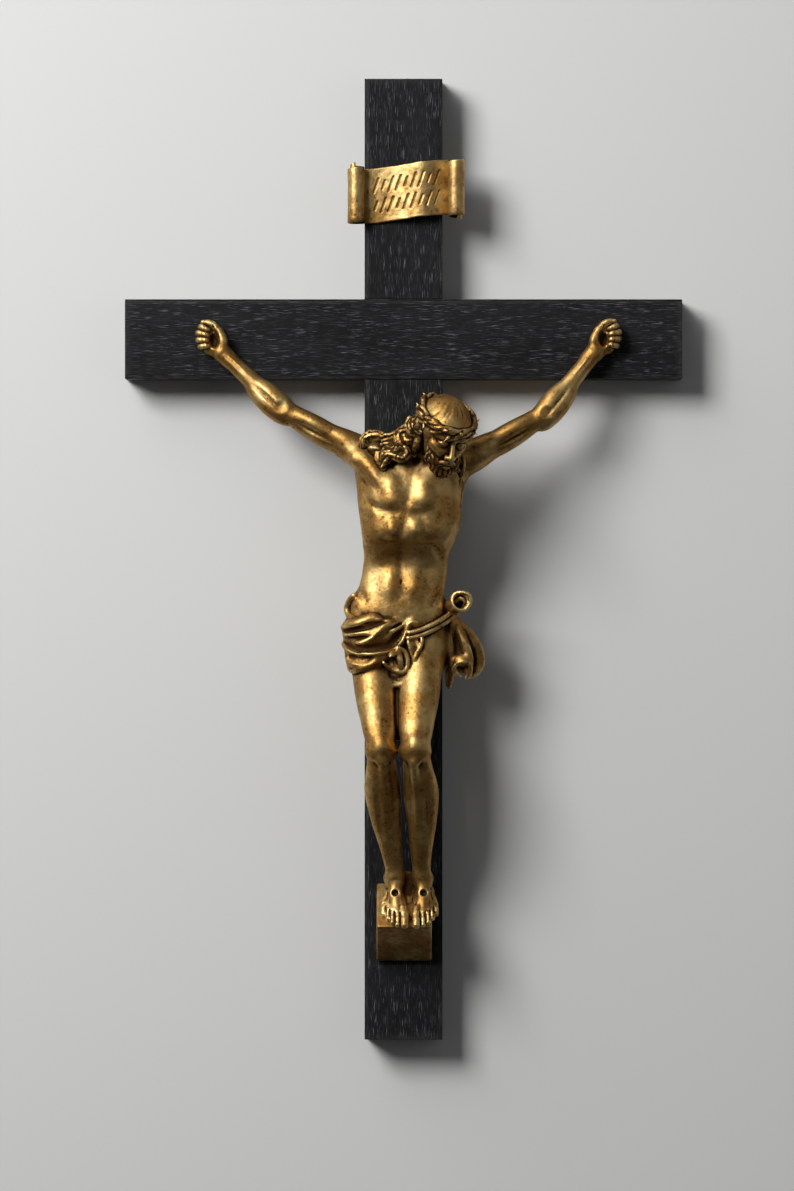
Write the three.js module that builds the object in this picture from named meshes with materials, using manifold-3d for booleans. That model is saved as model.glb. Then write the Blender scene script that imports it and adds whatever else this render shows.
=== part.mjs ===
// A wall crucifix: a cast corpus, a scroll and a foot block on a halved cross of blackened oak.
// Millimetres. X runs to the viewer's right, Y into the wall, Z up.
// The origin is on the cross's back face, behind the crossing of the two boards' centre lines.
// "Left" and "right" are always the viewer's.

import * as THREE from "three";
import { mergeVertices } from "three/addons/utils/BufferGeometryUtils.js";
import Module from "manifold-3d";

const wasm = await Module();
wasm.setup();

// The cross
const UPRIGHT_LENGTH = 500;
const UPRIGHT_WIDTH = 40.5;
const CROSSBAR_LENGTH = 290;
const CROSSBAR_WIDTH = 41.5;
const BOARD_THICKNESS = 20;
const HEAD_LENGTH = 135.5; // the upright's top end above the crossbar's centre line
const BOARD_BEVEL = 0.5;
const JOINT_GAP = 0.3;

// The castings
const SEAT_GAP = 0.3; // between a casting and what it is fixed to
const CORPUS_HEIGHT = 277; // crown of the head to the tips of the toes
const CORPUS_SHIFT = 0.3; // the figure's middle line from the cross's, along X
const CORPUS_MESH = 1.15; // cell of the grid that the figure's surface is found on
const CORPUS_TRIANGLES = 7400;

// The foot block, whose top edge is at the height of the figure's heels
const BLOCK_WIDTH = 28.6;
const BLOCK_HEIGHT = 40.5;
const BLOCK_DEPTH = 27;
const BLOCK_RIDGE = 21.5; // height of its front ridge below its top
const BLOCK_FOOT = 4; // depth left at its lower end
const BLOCK_SHIFT = 0.3;
const BLOCK_BEVEL = 0.5;
const BLOCK_ROUND = 1; // the worn ridge

// The scroll
const SCROLL_SPAN = 51.5; // between the centre lines of its two rolls
const SCROLL_HEIGHT = 28.6;
const SCROLL_BAND = 1.6;
const SCROLL_ROLL = 5; // outer radius of a roll
const SCROLL_CORE = 2.6; // radius at the roll's free end
const SCROLL_TURNS = 1.1;
const SCROLL_BULGE = 6; // how far the banner's middle stands off its ends
const SCROLL_RISE = 5; // how much higher the banner's right end is than its left
const SCROLL_LEVEL = 76.5; // its middle above the crossbar's centre line
const SCROLL_SHIFT = 1.4;
const STROKE_ROWS = 2;
const STROKE_COLUMNS = 9;
const STROKE_PITCH = 3.9; // between the columns
const STROKE_DEPTH = 0.5;
const STROKE_WIDTH = 1;
const STROKE_LENGTH = 7.5;
const STROKE_SHORT = 4.5; // length of every third stroke
const STROKE_GAP = 3; // between the rows
const STROKE_SLANT = 0.35; // radians from upright

// The hanging plate
const HANGER_WIDTH = 9;
const HANGER_LENGTH = 24;
const HANGER_THICKNESS = 1;
const HANGER_EYE = 3; // outer radius of the eye
const HANGER_HOLE = 1.5;
const HANGER_RISE = 1.8; // how far the eye shows above the board
const HANGER_SHIFT = 2;
const HANGER_NAIL = 1.6; // radius of the two nail heads
const HANGER_NAIL_POINT = 1.1; // the same at their tapered ends
const HANGER_NAIL_DROPS = [13, 20.5]; // from the eye
const HANGER_SINK = 0.4; // the plate's back below the upright's, filled by the nail heads

// Helpers for solids

function solidOf(geometry) {
  const bare = geometry.clone();
  bare.deleteAttribute("normal");
  bare.deleteAttribute("uv");
  const merged = mergeVertices(bare, 1e-4);
  return new wasm.Manifold(
    new wasm.Mesh({
      numProp: 3,
      vertProperties: merged.attributes.position.array,
      triVerts: new Uint32Array(merged.index.array),
    }),
  );
}

function geometryOf(solid) {
  const { vertProperties, triVerts } = solid.getMesh();
  const geometry = new THREE.BufferGeometry();
  geometry.setAttribute("position", new THREE.BufferAttribute(vertProperties, 3));
  geometry.setIndex(new THREE.BufferAttribute(triVerts, 1));
  return geometry;
}

function box(low, high) {
  const size = high.map((h, i) => h - low[i]);
  const geometry = new THREE.BoxGeometry(...size);
  return geometry.translate(...low.map((l, i) => l + size[i] / 2));
}

// A board or block whose outline is drawn in its first two axes, with small bevels at both ends.
function bevelled(shape, thickness, bevel) {
  return new THREE.ExtrudeGeometry(shape, {
    depth: thickness - 2 * bevel,
    bevelEnabled: true,
    bevelThickness: bevel,
    bevelSize: bevel,
    bevelOffset: -bevel,
    bevelSegments: 1,
    curveSegments: 6,
  }).translate(0, 0, bevel);
}

function rectangle(x0, z0, x1, z1) {
  return new THREE.Shape([
    new THREE.Vector2(x0, z0),
    new THREE.Vector2(x1, z0),
    new THREE.Vector2(x1, z1),
    new THREE.Vector2(x0, z1),
  ]);
}

// A board standing on the wall: its outline is in X and Z, its back at y = 0.
function board(x0, z0, x1, z1) {
  return bevelled(rectangle(x0, z0, x1, z1), BOARD_THICKNESS, BOARD_BEVEL).rotateX(
    Math.PI / 2,
  );
}

// The cross

const frontFace = -BOARD_THICKNESS;
const jointFace = -BOARD_THICKNESS / 2;

function upright() {
  const half = UPRIGHT_WIDTH / 2;
  const slot = CROSSBAR_WIDTH / 2 + JOINT_GAP;
  const past = UPRIGHT_WIDTH;
  const notch = box([-past, frontFace - past, -slot], [past, jointFace, slot]);
  return solidOf(board(-half, HEAD_LENGTH - UPRIGHT_LENGTH, half, HEAD_LENGTH))
    .subtract(solidOf(notch))
    .subtract(hangerPocket());
}

function crossbar() {
  const half = CROSSBAR_WIDTH / 2;
  const slot = UPRIGHT_WIDTH / 2 + JOINT_GAP;
  const past = CROSSBAR_WIDTH;
  const notch = box([-slot, jointFace - JOINT_GAP, -past], [slot, past, past]);
  return solidOf(board(-CROSSBAR_LENGTH / 2, -half, CROSSBAR_LENGTH / 2, half)).subtract(
    solidOf(notch),
  );
}

// The hanging plate, let into the upright's back

const hangerEyeLevel = HEAD_LENGTH + HANGER_RISE - HANGER_EYE;

function hangerOutline(grow) {
  const half = HANGER_WIDTH / 2 + grow;
  const low = hangerEyeLevel - HANGER_LENGTH - grow;
  const shoulder = hangerEyeLevel - HANGER_WIDTH;
  const eye = HANGER_EYE + grow;
  const shape = new THREE.Shape();
  shape.moveTo(-half, low);
  shape.lineTo(half, low);
  shape.lineTo(half, shoulder);
  shape.lineTo(eye, hangerEyeLevel);
  shape.absarc(0, hangerEyeLevel, eye, 0, Math.PI, false);
  shape.lineTo(-half, shoulder);
  return shape;
}

// Stands a flat outline up against the wall plane, its back at y = back.
function plateOf(shape, thickness, back) {
  const geometry = new THREE.ExtrudeGeometry(shape, {
    depth: thickness,
    bevelEnabled: false,
    curveSegments: 10,
  });
  return geometry.rotateX(Math.PI / 2).translate(HANGER_SHIFT, back, 0);
}

function hangerPocket() {
  const deep = HANGER_SINK + HANGER_THICKNESS + JOINT_GAP;
  return solidOf(plateOf(hangerOutline(JOINT_GAP), deep + JOINT_GAP, JOINT_GAP));
}

function hanger() {
  const shape = hangerOutline(0);
  shape.holes.push(new THREE.Path().absarc(0, hangerEyeLevel, HANGER_HOLE, 0, 2 * Math.PI, true));
  let plate = solidOf(plateOf(shape, HANGER_THICKNESS, -HANGER_SINK));
  for (const drop of HANGER_NAIL_DROPS) {
    const head = new THREE.CylinderGeometry(HANGER_NAIL_POINT, HANGER_NAIL, HANGER_SINK, 16);
    head.translate(HANGER_SHIFT, -HANGER_SINK / 2, hangerEyeLevel - drop);
    plate = plate.add(solidOf(head));
  }
  return plate;
}

// The foot block: a wedge whose upper face slopes down and forward under the feet

const UNIT = CORPUS_HEIGHT / 533; // the figure's own unit of length
const HEEL_LEVEL = -544; // in the figure's units
const blockTop = HEEL_LEVEL * UNIT;
const ridgeLevel = blockTop - BLOCK_RIDGE;

function blockProfile(grow) {
  const back = -SEAT_GAP + grow;
  const foot = blockTop - BLOCK_HEIGHT - grow;
  const shape = new THREE.Shape();
  shape.moveTo(back, blockTop + grow);
  shape.lineTo(back, foot);
  shape.lineTo(-BLOCK_FOOT - grow, foot);
  shape.lineTo(-BLOCK_DEPTH - grow, ridgeLevel - BLOCK_ROUND);
  shape.lineTo(-BLOCK_DEPTH - grow + BLOCK_ROUND / 2, ridgeLevel + grow);
  return shape;
}

// Extrudes a side profile, drawn in Y and Z from the boards' front face, across X.
function acrossX(geometry, width, shift) {
  const toX = new THREE.Matrix4().makeBasis(
    new THREE.Vector3(0, 1, 0),
    new THREE.Vector3(0, 0, 1),
    new THREE.Vector3(1, 0, 0),
  );
  return geometry.applyMatrix4(toX).translate(shift - width / 2, frontFace, 0);
}

function footBlock() {
  return solidOf(
    acrossX(bevelled(blockProfile(0), BLOCK_WIDTH, BLOCK_BEVEL), BLOCK_WIDTH, BLOCK_SHIFT),
  );
}

function footBlockRoom() {
  const width = BLOCK_WIDTH + 2 * SEAT_GAP;
  const room = new THREE.ExtrudeGeometry(blockProfile(SEAT_GAP), {
    depth: width,
    bevelEnabled: false,
    curveSegments: 6,
  });
  return solidOf(acrossX(room, width, BLOCK_SHIFT));
}

// The scroll: a banner with a roll at each end, drawn in plan as [x, forward] and raised along Z

const rollMiddle = SCROLL_ROLL - SCROLL_BAND / 2;
const scrollSeat = SEAT_GAP + SCROLL_BAND / 2;

// A point on the banner's middle line, share 0 at the left roll's foot and 1 at the right's.
// Next to the rolls it lies on the board, and it swells forward between.
function banner(share) {
  const swell = Math.sin(Math.PI * share) ** 4;
  return [(share - 0.5) * SCROLL_SPAN, scrollSeat + SCROLL_BULGE * swell];
}

// A roll from its free end to its foot, where the banner leaves it; side is -1 on the left.
function roll(side) {
  const steps = 22;
  const sweep = 2 * Math.PI * SCROLL_TURNS;
  const line = [];
  for (let i = 0; i <= steps; i += 1) {
    const share = i / steps;
    const radius = SCROLL_CORE + (rollMiddle - SCROLL_CORE) * share;
    const angle = sweep * (1 - share);
    const x = side * (SCROLL_SPAN / 2 + Math.sin(angle) * radius);
    line.push([x, scrollSeat + rollMiddle - Math.cos(angle) * radius]);
  }
  return line;
}

function scrollLine() {
  const steps = 20;
  const middle = [];
  for (let i = 1; i < steps; i += 1) middle.push(banner(i / steps));
  return [...roll(-1), ...middle, ...roll(1).reverse()];
}

// How far the scroll is raised at x: its left end hangs low and its right end stands high.
function scrollRise(x) {
  const share = Math.max(-1, Math.min(1, x / (SCROLL_SPAN / 2)));
  return (SCROLL_RISE / 2) * Math.sin((Math.PI / 2) * share);
}

// The outline of a ribbon of a width along a line.
function ribbon(line, width) {
  const side = (sign) =>
    line.map(([x, y], i) => {
      const before = line[Math.max(0, i - 1)];
      const after = line[Math.min(line.length - 1, i + 1)];
      const length = Math.hypot(after[0] - before[0], after[1] - before[1]);
      const push = (sign * width) / 2 / length;
      return new THREE.Vector2(
        x - (after[1] - before[1]) * push,
        y + (after[0] - before[0]) * push,
      );
    });
  return new THREE.Shape([...side(-1), ...side(1).reverse()]);
}

// Raises a plan drawing along Z in front of the boards, each point by its own rise.
function raise(shape, height) {
  const geometry = new THREE.ExtrudeGeometry(shape, { depth: height, bevelEnabled: false });
  const place = geometry.attributes.position;
  for (let i = 0; i < place.count; i += 1) {
    const x = place.getX(i);
    const z = SCROLL_LEVEL + place.getZ(i) - height / 2 + scrollRise(x);
    place.setXYZ(i, x + SCROLL_SHIFT, frontFace - place.getY(i), z);
  }
  return mirrored(geometry);
}

// Turns a mirrored mesh's faces out again.
function mirrored(geometry) {
  const index = geometry.index?.array ?? [...geometry.attributes.position.array.keys()];
  const count = geometry.index?.count ?? geometry.attributes.position.count;
  const turned = [];
  for (let i = 0; i < count; i += 3) turned.push(index[i], index[i + 2], index[i + 1]);
  geometry.setIndex(turned);
  return solidOf(geometry);
}

// Shallow slanted strokes in rows, where an inscription would be.
function strokes() {
  const found = [];
  for (let row = 0; row < STROKE_ROWS; row += 1) {
    for (let column = 0; column < STROKE_COLUMNS; column += 1) {
      const x = (column - (STROKE_COLUMNS - 1) / 2) * STROKE_PITCH;
      const z = (row - (STROKE_ROWS - 1) / 2) * (STROKE_LENGTH + STROKE_GAP);
      const long = column % 3 === row ? STROKE_SHORT : STROKE_LENGTH;
      const stroke = new THREE.BoxGeometry(STROKE_WIDTH, 2 * STROKE_DEPTH, long);
      stroke.rotateY(STROKE_SLANT).rotateZ(-Math.atan(bannerSlope(x)));
      const [, forward] = banner(x / SCROLL_SPAN + 0.5);
      const front = frontFace - forward - SCROLL_BAND / 2;
      stroke.translate(x + SCROLL_SHIFT, front, SCROLL_LEVEL + z + scrollRise(x));
      found.push(stroke);
    }
  }
  return found;
}

function bannerSlope(x) {
  const share = x / SCROLL_SPAN + 0.5;
  const near = 0.01;
  const [x0, y0] = banner(share - near);
  const [x1, y1] = banner(share + near);
  return (y1 - y0) / (x1 - x0);
}

function titulus() {
  let solid = raise(ribbon(scrollLine(), SCROLL_BAND), SCROLL_HEIGHT);
  for (const stroke of strokes()) solid = solid.subtract(solidOf(stroke));
  return solid;
}

// Clay: signed distances on a grid, which soft shapes are added to and cut from.
// The figure is modelled in units of one 533rd of its height, as points [x, f, z]:
// x to the right and z up from the crossing, f forward from the boards' front face.

const FAR = 1e3;

const plus = (a, b, share = 1) => a.map((v, i) => v + b[i] * share);
const minus = (a, b) => plus(a, b, -1);
const dot = (a, b) => a[0] * b[0] + a[1] * b[1] + a[2] * b[2];
const lerp = (a, b, t) => a.map((v, i) => v + (b[i] - v) * t);
const cross = (a, b) => [
  a[1] * b[2] - a[2] * b[1],
  a[2] * b[0] - a[0] * b[2],
  a[0] * b[1] - a[1] * b[0],
];
const unit = (a) => a.map((v) => v / Math.hypot(...a));

// Shapes give a distance from their surface, and a share that is nought at their middle and one
// at their surface.

// An ellipsoid whose radii lie along three unit axes, the grid's own unless others are given.
function ball(centre, radii, axes = null) {
  const [rx, ry, rz] = typeof radii === "number" ? [radii, radii, radii] : radii;
  const [ax, ay, az] = axes ?? [
    [1, 0, 0],
    [0, 1, 0],
    [0, 0, 1],
  ];
  const reach = [0, 1, 2].map((i) => Math.hypot(ax[i] * rx, ay[i] * ry, az[i] * rz));
  const least = Math.min(rx, ry, rz);
  const shares = (x, f, z) => {
    const p = [x - centre[0], f - centre[1], z - centre[2]];
    return [dot(p, ax) / rx, dot(p, ay) / ry, dot(p, az) / rz];
  };
  return {
    low: minus(centre, reach),
    high: plus(centre, reach),
    distance(x, f, z) {
      const [u, v, w] = shares(x, f, z);
      const k = Math.hypot(u, v, w);
      return k < 1e-3 ? -least : (k * (k - 1)) / Math.hypot(u / rx, v / ry, w / rz);
    },
    share: (x, f, z) => Math.hypot(...shares(x, f, z)),
  };
}

// A rod with round ends from a to b, whose radius runs from ra to rb, and its strength in press.
function rod(a, b, ra, rb = ra, strength = [1, 1]) {
  const ab = minus(b, a);
  const length2 = Math.max(dot(ab, ab), 1e-9);
  let t = 0;
  const away = (x, f, z) => {
    const px = x - a[0];
    const pf = f - a[1];
    const pz = z - a[2];
    t = Math.min(1, Math.max(0, (px * ab[0] + pf * ab[1] + pz * ab[2]) / length2));
    return Math.hypot(px - ab[0] * t, pf - ab[1] * t, pz - ab[2] * t);
  };
  return {
    low: a.map((v, i) => Math.min(v - ra, b[i] - rb)),
    high: a.map((v, i) => Math.max(v + ra, b[i] + rb)),
    distance: (x, f, z) => away(x, f, z) - (ra + (rb - ra) * t),
    share(x, f, z) {
      const share = away(x, f, z) / (ra + (rb - ra) * t);
      return 1 - (1 - share) * (strength[0] + (strength[1] - strength[0]) * t);
    },
  };
}

// Rows of numbers, made smooth and denser by a number of steps between each two.
function densify(rows, steps) {
  const dense = [];
  for (let i = 0; i < rows.length - 1; i += 1) {
    const a = rows[Math.max(0, i - 1)];
    const [b, c] = [rows[i], rows[i + 1]];
    const d = rows[Math.min(rows.length - 1, i + 2)];
    for (let s = 0; s < steps; s += 1) {
      const t = s / steps;
      dense.push(
        b.map((v, k) => {
          const bend = 2 * a[k] - 5 * v + 4 * c[k] - d[k] + t * (3 * (v - c[k]) + d[k] - a[k]);
          return v + 0.5 * t * (c[k] - a[k] + t * bend);
        }),
      );
    }
  }
  dense.push(rows.at(-1));
  return dense;
}

// A smooth cord through rows of [x, f, z, radius].
function cord(rows, steps = 4) {
  const dense = densify(rows, steps);
  const thick = (row) => Math.max(row[3], 0.3);
  return {
    parts: dense.slice(1).map((row, i) => rod(dense[i], row, thick(dense[i]), thick(row))),
  };
}

// A path for press through points of [x, f, z], which fades out towards its ends.
function line(points, radius) {
  const last = points.length - 1;
  const dense = densify(points.map((point, i) => [...point, i === 0 || i === last ? 0 : 1]), 4);
  const place = (row) => row.slice(0, 3);
  const parts = dense.slice(1).map((row, i) => {
    return rod(place(dense[i]), place(row), radius, radius, [dense[i][3], row[3]]);
  });
  return { parts };
}

// A body with oval level sections, squarer where power is more: [z, left, right, back, front].
function stack(rows, power = 2) {
  const dense = densify(rows, 8);
  const top = dense[0][0];
  const foot = dense.at(-1)[0];
  let level = NaN;
  let section;
  const cut = (z) => {
    const inside = Math.min(top, Math.max(foot, z));
    let i = 1;
    while (i < dense.length - 1 && dense[i][0] > inside) i += 1;
    const share = (dense[i - 1][0] - inside) / (dense[i - 1][0] - dense[i][0]);
    const [, left, right, back, front] = lerp(dense[i - 1], dense[i], share);
    level = z;
    section = {
      x: (left + right) / 2,
      f: (back + front) / 2,
      wide: (right - left) / 2,
      deep: (front - back) / 2,
      past: Math.abs(z - inside),
    };
  };
  const least = (k) => Math.min(...dense.map((row) => row[k]));
  const most = (k) => Math.max(...dense.map((row) => row[k]));
  return {
    low: [least(1), least(3), foot],
    high: [most(2), most(4), top],
    distance(x, f, z) {
      if (z !== level) cut(z);
      const { wide, deep, past } = section;
      const u = (x - section.x) / wide;
      const v = (f - section.f) / deep;
      const k = (Math.abs(u) ** power + Math.abs(v) ** power) ** (1 / power);
      const flat =
        k < 1e-3 ? -Math.min(wide, deep) : (k * (k - 1)) / Math.hypot(u / wide, v / deep);
      return past > 0 ? Math.hypot(Math.max(flat, 0), past) : flat;
    },
  };
}

class Clay {
  constructor(low, high, cell) {
    this.low = low;
    this.cell = cell;
    this.count = low.map((v, i) => Math.ceil((high[i] - v) / cell) + 1);
    const size = this.count.reduce((a, b) => a * b);
    this.field = new Float32Array(size).fill(FAR);
    this.scratch = new Float32Array(size).fill(FAR);
  }

  // Calls visit(index, value) over the grid points within margin of one plain shape.
  near(shape, margin, measure, visit) {
    const range = this.low.map((v, i) => [
      Math.max(0, Math.floor((shape.low[i] - margin - v) / this.cell)),
      Math.min(this.count[i] - 1, Math.ceil((shape.high[i] + margin - v) / this.cell)),
    ]);
    const [[x0, x1], [f0, f1], [z0, z1]] = range;
    for (let k = z0; k <= z1; k += 1) {
      const z = this.low[2] + k * this.cell;
      for (let j = f0; j <= f1; j += 1) {
        const f = this.low[1] + j * this.cell;
        const row = (k * this.count[1] + j) * this.count[0];
        for (let i = x0; i <= x1; i += 1) {
          visit(row + i, shape[measure](this.low[0] + i * this.cell, f, z));
        }
      }
    }
  }

  // Joins a shape on, or takes it off where sign is -1, softly over the distance soft.
  blend(shape, soft, sign) {
    const touched = [];
    for (const part of shape.parts ?? [shape]) {
      this.near(part, soft + 2 * this.cell, "distance", (index, distance) => {
        if (this.scratch[index] === FAR) touched.push(index);
        this.scratch[index] = Math.min(this.scratch[index], distance);
      });
    }
    for (const index of touched) {
      const old = this.field[index] * sign;
      const distance = this.scratch[index];
      const overlap = Math.max(soft - Math.abs(old - distance), 0);
      this.field[index] = sign * (Math.min(old, distance) - (overlap * overlap) / (4 * soft));
      this.scratch[index] = FAR;
    }
  }

  // Raises the surface inside a shape by height, most in its middle; below nought it sinks.
  press(shape, height) {
    const touched = [];
    for (const part of shape.parts ?? [shape]) {
      this.near(part, 0, "share", (index, share) => {
        if (share >= 1) return;
        if (this.scratch[index] === FAR) touched.push(index);
        this.scratch[index] = Math.min(this.scratch[index], share);
      });
    }
    for (const index of touched) {
      this.field[index] -= height * (1 - this.scratch[index] ** 2) ** 2;
      this.scratch[index] = FAR;
    }
  }

  add(shape, soft = 3) {
    this.blend(shape, soft, 1);
  }

  cut(shape, soft = 2) {
    this.blend(shape, soft, -1);
  }

  // Cuts the back level at the seat, and keeps the surface off the grid's own points.
  level() {
    const seat = SEAT_GAP / UNIT;
    this.field.forEach((old, index) => {
      const f = this.low[1] + (Math.floor(index / this.count[0]) % this.count[1]) * this.cell;
      const distance = Math.max(old, seat - f);
      this.field[index] = Math.abs(distance) < 1e-3 ? 1e-3 : distance;
    });
  }
}

// The figure's parts

const TORSO = [
  [-96, -34, 50, 20, 48],
  [-110, -44, 62, 13, 56],
  [-129, -48, 66, 8, 62],
  [-150, -47, 60, 6, 68],
  [-166, -46, 58, 6, 71],
  [-181, -44, 57, 8, 71],
  [-196, -42, 53, 10, 70.5],
  [-206, -41, 49, 12, 66],
  [-216, -40, 45, 14, 58],
  [-228, -41, 43, 15, 53.5],
  [-240, -43, 42, 14, 54],
  [-256, -48, 40, 11, 57],
  [-275, -54, 43, 7, 58],
  [-300, -57, 47, 4, 54],
  [-320, -56, 46, 5, 46],
  [-334, -48, 40, 9, 40],
];

function torso(clay) {
  clay.add(stack(TORSO, 2.3));
  clay.add(rod([-40, 34, -117], [60, 34, -121], 15), 8); // across the shoulders
  clay.add(rod([6, 42, -120], [30, 60, -104], 16, 15), 8); // neck
  clay.add(rod([-44, 30, -114], [0, 38, -108], 11, 14), 5); // trapezius
  clay.add(rod([66, 30, -117], [24, 38, -108], 11, 14), 5);
  for (const [side, x] of [
    [-1, -14],
    [1, 20],
  ]) {
    clay.add(rod([x, 56, -146], [x + side * 31, 47, -120], 11), 6);
    const flank = x + (side < 0 ? -26 : 31);
    clay.add(rod([flank, 24, -134], [flank - side * 5, 26, -190], 9, 5), 6);
    clay.add(ball([x * 0.6 - 4, 43, -246], [14, 14, 20]), 5);
  }
  chest(clay);
  belly(clay);
}

// The broad flat chest: both muscles, the line between them and the edge under them.
function chest(clay) {
  for (const x of [-13, 20]) {
    clay.press(ball([x, 68, -154], [25, 22, 24]), 1.6);
    clay.press(ball([x, 72, -158], [16, 20, 16]), 3.4);
  }
  const middle = [[10, 66, -122], [5, 74, -154], [2, 76, -170], [-1, 76, -186], [-3, 70, -204]];
  const under = [[-38, 56, -162], [-14, 74, -174], [0, 76, -174], [13, 74, -176], [38, 60, -171]];
  clay.press(line(middle, 7), -4);
  clay.press(line(under, 7), -3.4);
  clay.press(line([[-44, 52, -110], [-37, 57, -123], [-24, 69, -150]], 9), 2.4); // tendon to the arm
  clay.press(ball([12, 64, -123], [7, 9, 7]), -3); // pit of the neck
  for (let rib = 0; rib < 5; rib += 1) {
    const z = -166 - rib * 10;
    const right = [[56 - rib * 1.8, 32, z + 9], [51 - rib * 1.6, 46 - rib, z], [42 - rib, 58 - rib, z - 7]];
    clay.press(line(right, 5), 1.8);
  }
}

// The belly's flat muscles in pairs, the arch of the ribs, the navel and the groins.
function belly(clay) {
  for (const [side, x] of [
    [-1, -13],
    [1, 11],
  ]) {
    clay.press(ball([x, 74, -191], [12, 16, 16]), 3.8);
    clay.press(ball([x + side * 2, 56, -250], [15, 16, 17]), 1.6);
  }
  const arch = [[-42, 44, -228], [-35, 54, -216], [-24, 62, -208], [-10, 66, -206], [4, 66, -208]];
  clay.press(line([...arch, [16, 65, -206], [28, 60, -206], [36, 50, -216], [42, 40, -228]], 8), -2.4);
  clay.press(ball([-3, 60, -219], [24, 14, 14]), -2.2);
  clay.press(line([[-4, 62, -206], [-4, 55, -222], [-4, 56, -240]], 5), -1.6);
  clay.press(ball([-3, 58, -243], [3, 5, 4]), -2.4); // navel
  clay.press(line([[-48, 30, -240], [-42, 44, -256], [-32, 52, -270]], 8), -1.6);
  clay.press(line([[40, 34, -240], [32, 47, -258], [20, 54, -273]], 8), -1.6);
}

// An ellipsoid muscle at a share of the way from one joint to the next.
function muscle(from, to, at, [aside, ahead], [long, wide, deep]) {
  const axis = unit(minus(to, from));
  const side = unit(cross([0, 1, 0], axis));
  const front = cross(axis, side);
  const centre = plus(plus(lerp(from, to, at), side, aside), front, ahead);
  return ball(centre, [long, wide, deep], [axis, side, front]);
}

const ARMS = {
  left: { side: -1, shoulder: [-46, 35, -113], elbow: [-122, 26, -71], wrist: [-181, 12, -15] },
  right: { side: 1, shoulder: [66, 35, -119], elbow: [141, 27, -76], wrist: [190, 12, -14] },
};

function arm(clay, { side, shoulder, elbow, wrist }) {
  // The muscles' sideways axis points up on one arm and down on the other.
  const up = -side;
  clay.add(rod(shoulder, elbow, 13, 10.5), 6);
  clay.add(muscle(shoulder, elbow, 0.06, [0, 0], [24, 15.5, 16]), 5); // deltoid
  clay.add(muscle(shoulder, elbow, 0.55, [up * 3, 4], [28, 9, 10]), 4); // biceps
  clay.add(muscle(shoulder, elbow, 0.45, [up * -5, -2], [34, 9, 10]), 5); // triceps
  clay.add(rod(elbow, wrist, 10.5, 7.4), 4);
  clay.add(muscle(elbow, wrist, 0.14, [up * 3, 1], [26, 10.5, 11]), 5); // forearm
  clay.add(muscle(elbow, wrist, 0.16, [up * -5.5, 0], [30, 10, 10.5]), 4);
  clay.add(rod(plus(wrist, [side * -6, 0, -6]), wrist, 8, 8.4), 4);
}

// A half-closed hand, its back to the wood: points are [out, up, forward] from the wrist.
function hand(clay, { side, wrist }) {
  const at = (out, up, f) => plus(wrist, [side * out, f - wrist[1], up]);
  clay.add(rod(at(2, 2, 11), at(10, 14, 8), 8, 8), 5);
  clay.add(ball(at(11, 10, 8), [11, 8, 12]), 4); // palm
  clay.add(cord([[...at(0, 5, 15), 5], [...at(0, 13, 16), 5], [...at(4, 22, 15), 4.4]]), 3);
  clay.add(cord([[...at(4, 22, 15), 4.4], [...at(9, 28, 15), 3.8], [...at(20, 31, 14), 2.8]]), 2);
  clay.add(rod(at(16, 12, 6), at(17, 25, 6), 6, 5), 4);
  const tips = [26.5, 20.5, 13.5, 6.5];
  tips.forEach((up, finger) => {
    const reach = finger === 0 || finger === 3 ? 22 : 23.5;
    const knuckle = [...at(15, up, 7), 3.8];
    const bend = [...at(reach, up, 8), 3.7];
    clay.add(cord([knuckle, bend, [...at(reach, up, 14), 3.5], [...at(18, up, 17), 2.9]]), 1);
  });
  clay.cut(ball(at(11, 13, 19), [5, 7, 9]), 3); // hollow of the palm
}

const LEGS = {
  left: { inner: 1, hip: [-32, 33, -312], knee: [-23, 74, -408], ankle: [-10, 27, -536] },
  right: { inner: -1, hip: [17, 33, -312], knee: [11, 79, -408], ankle: [18.3, 28, -536] },
};

// Sections of the lower leg: [share of the way down, outwards, inwards, back, front].
const CALF = [
  [-0.02, 13, 12, 11, 10],
  [0.1, 15, 13, 13, 10],
  [0.3, 20.5, 14.5, 18, 11],
  [0.42, 20, 14, 17, 10.5],
  [0.6, 16.5, 11, 13, 9.5],
  [0.78, 11.5, 9.5, 10, 8.5],
  [0.95, 8, 7.6, 8.6, 7.4],
  [1.06, 7, 7, 7, 6],
];

function calf(inner, knee, ankle) {
  return stack(
    CALF.map(([share, outwards, inwards, back, front]) => {
      const [x, f, z] = lerp(knee, ankle, share);
      const left = inner > 0 ? outwards : inwards;
      const right = inner > 0 ? inwards : outwards;
      return [z, x - left, x + right, f - back, f + front];
    }),
  );
}

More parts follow.
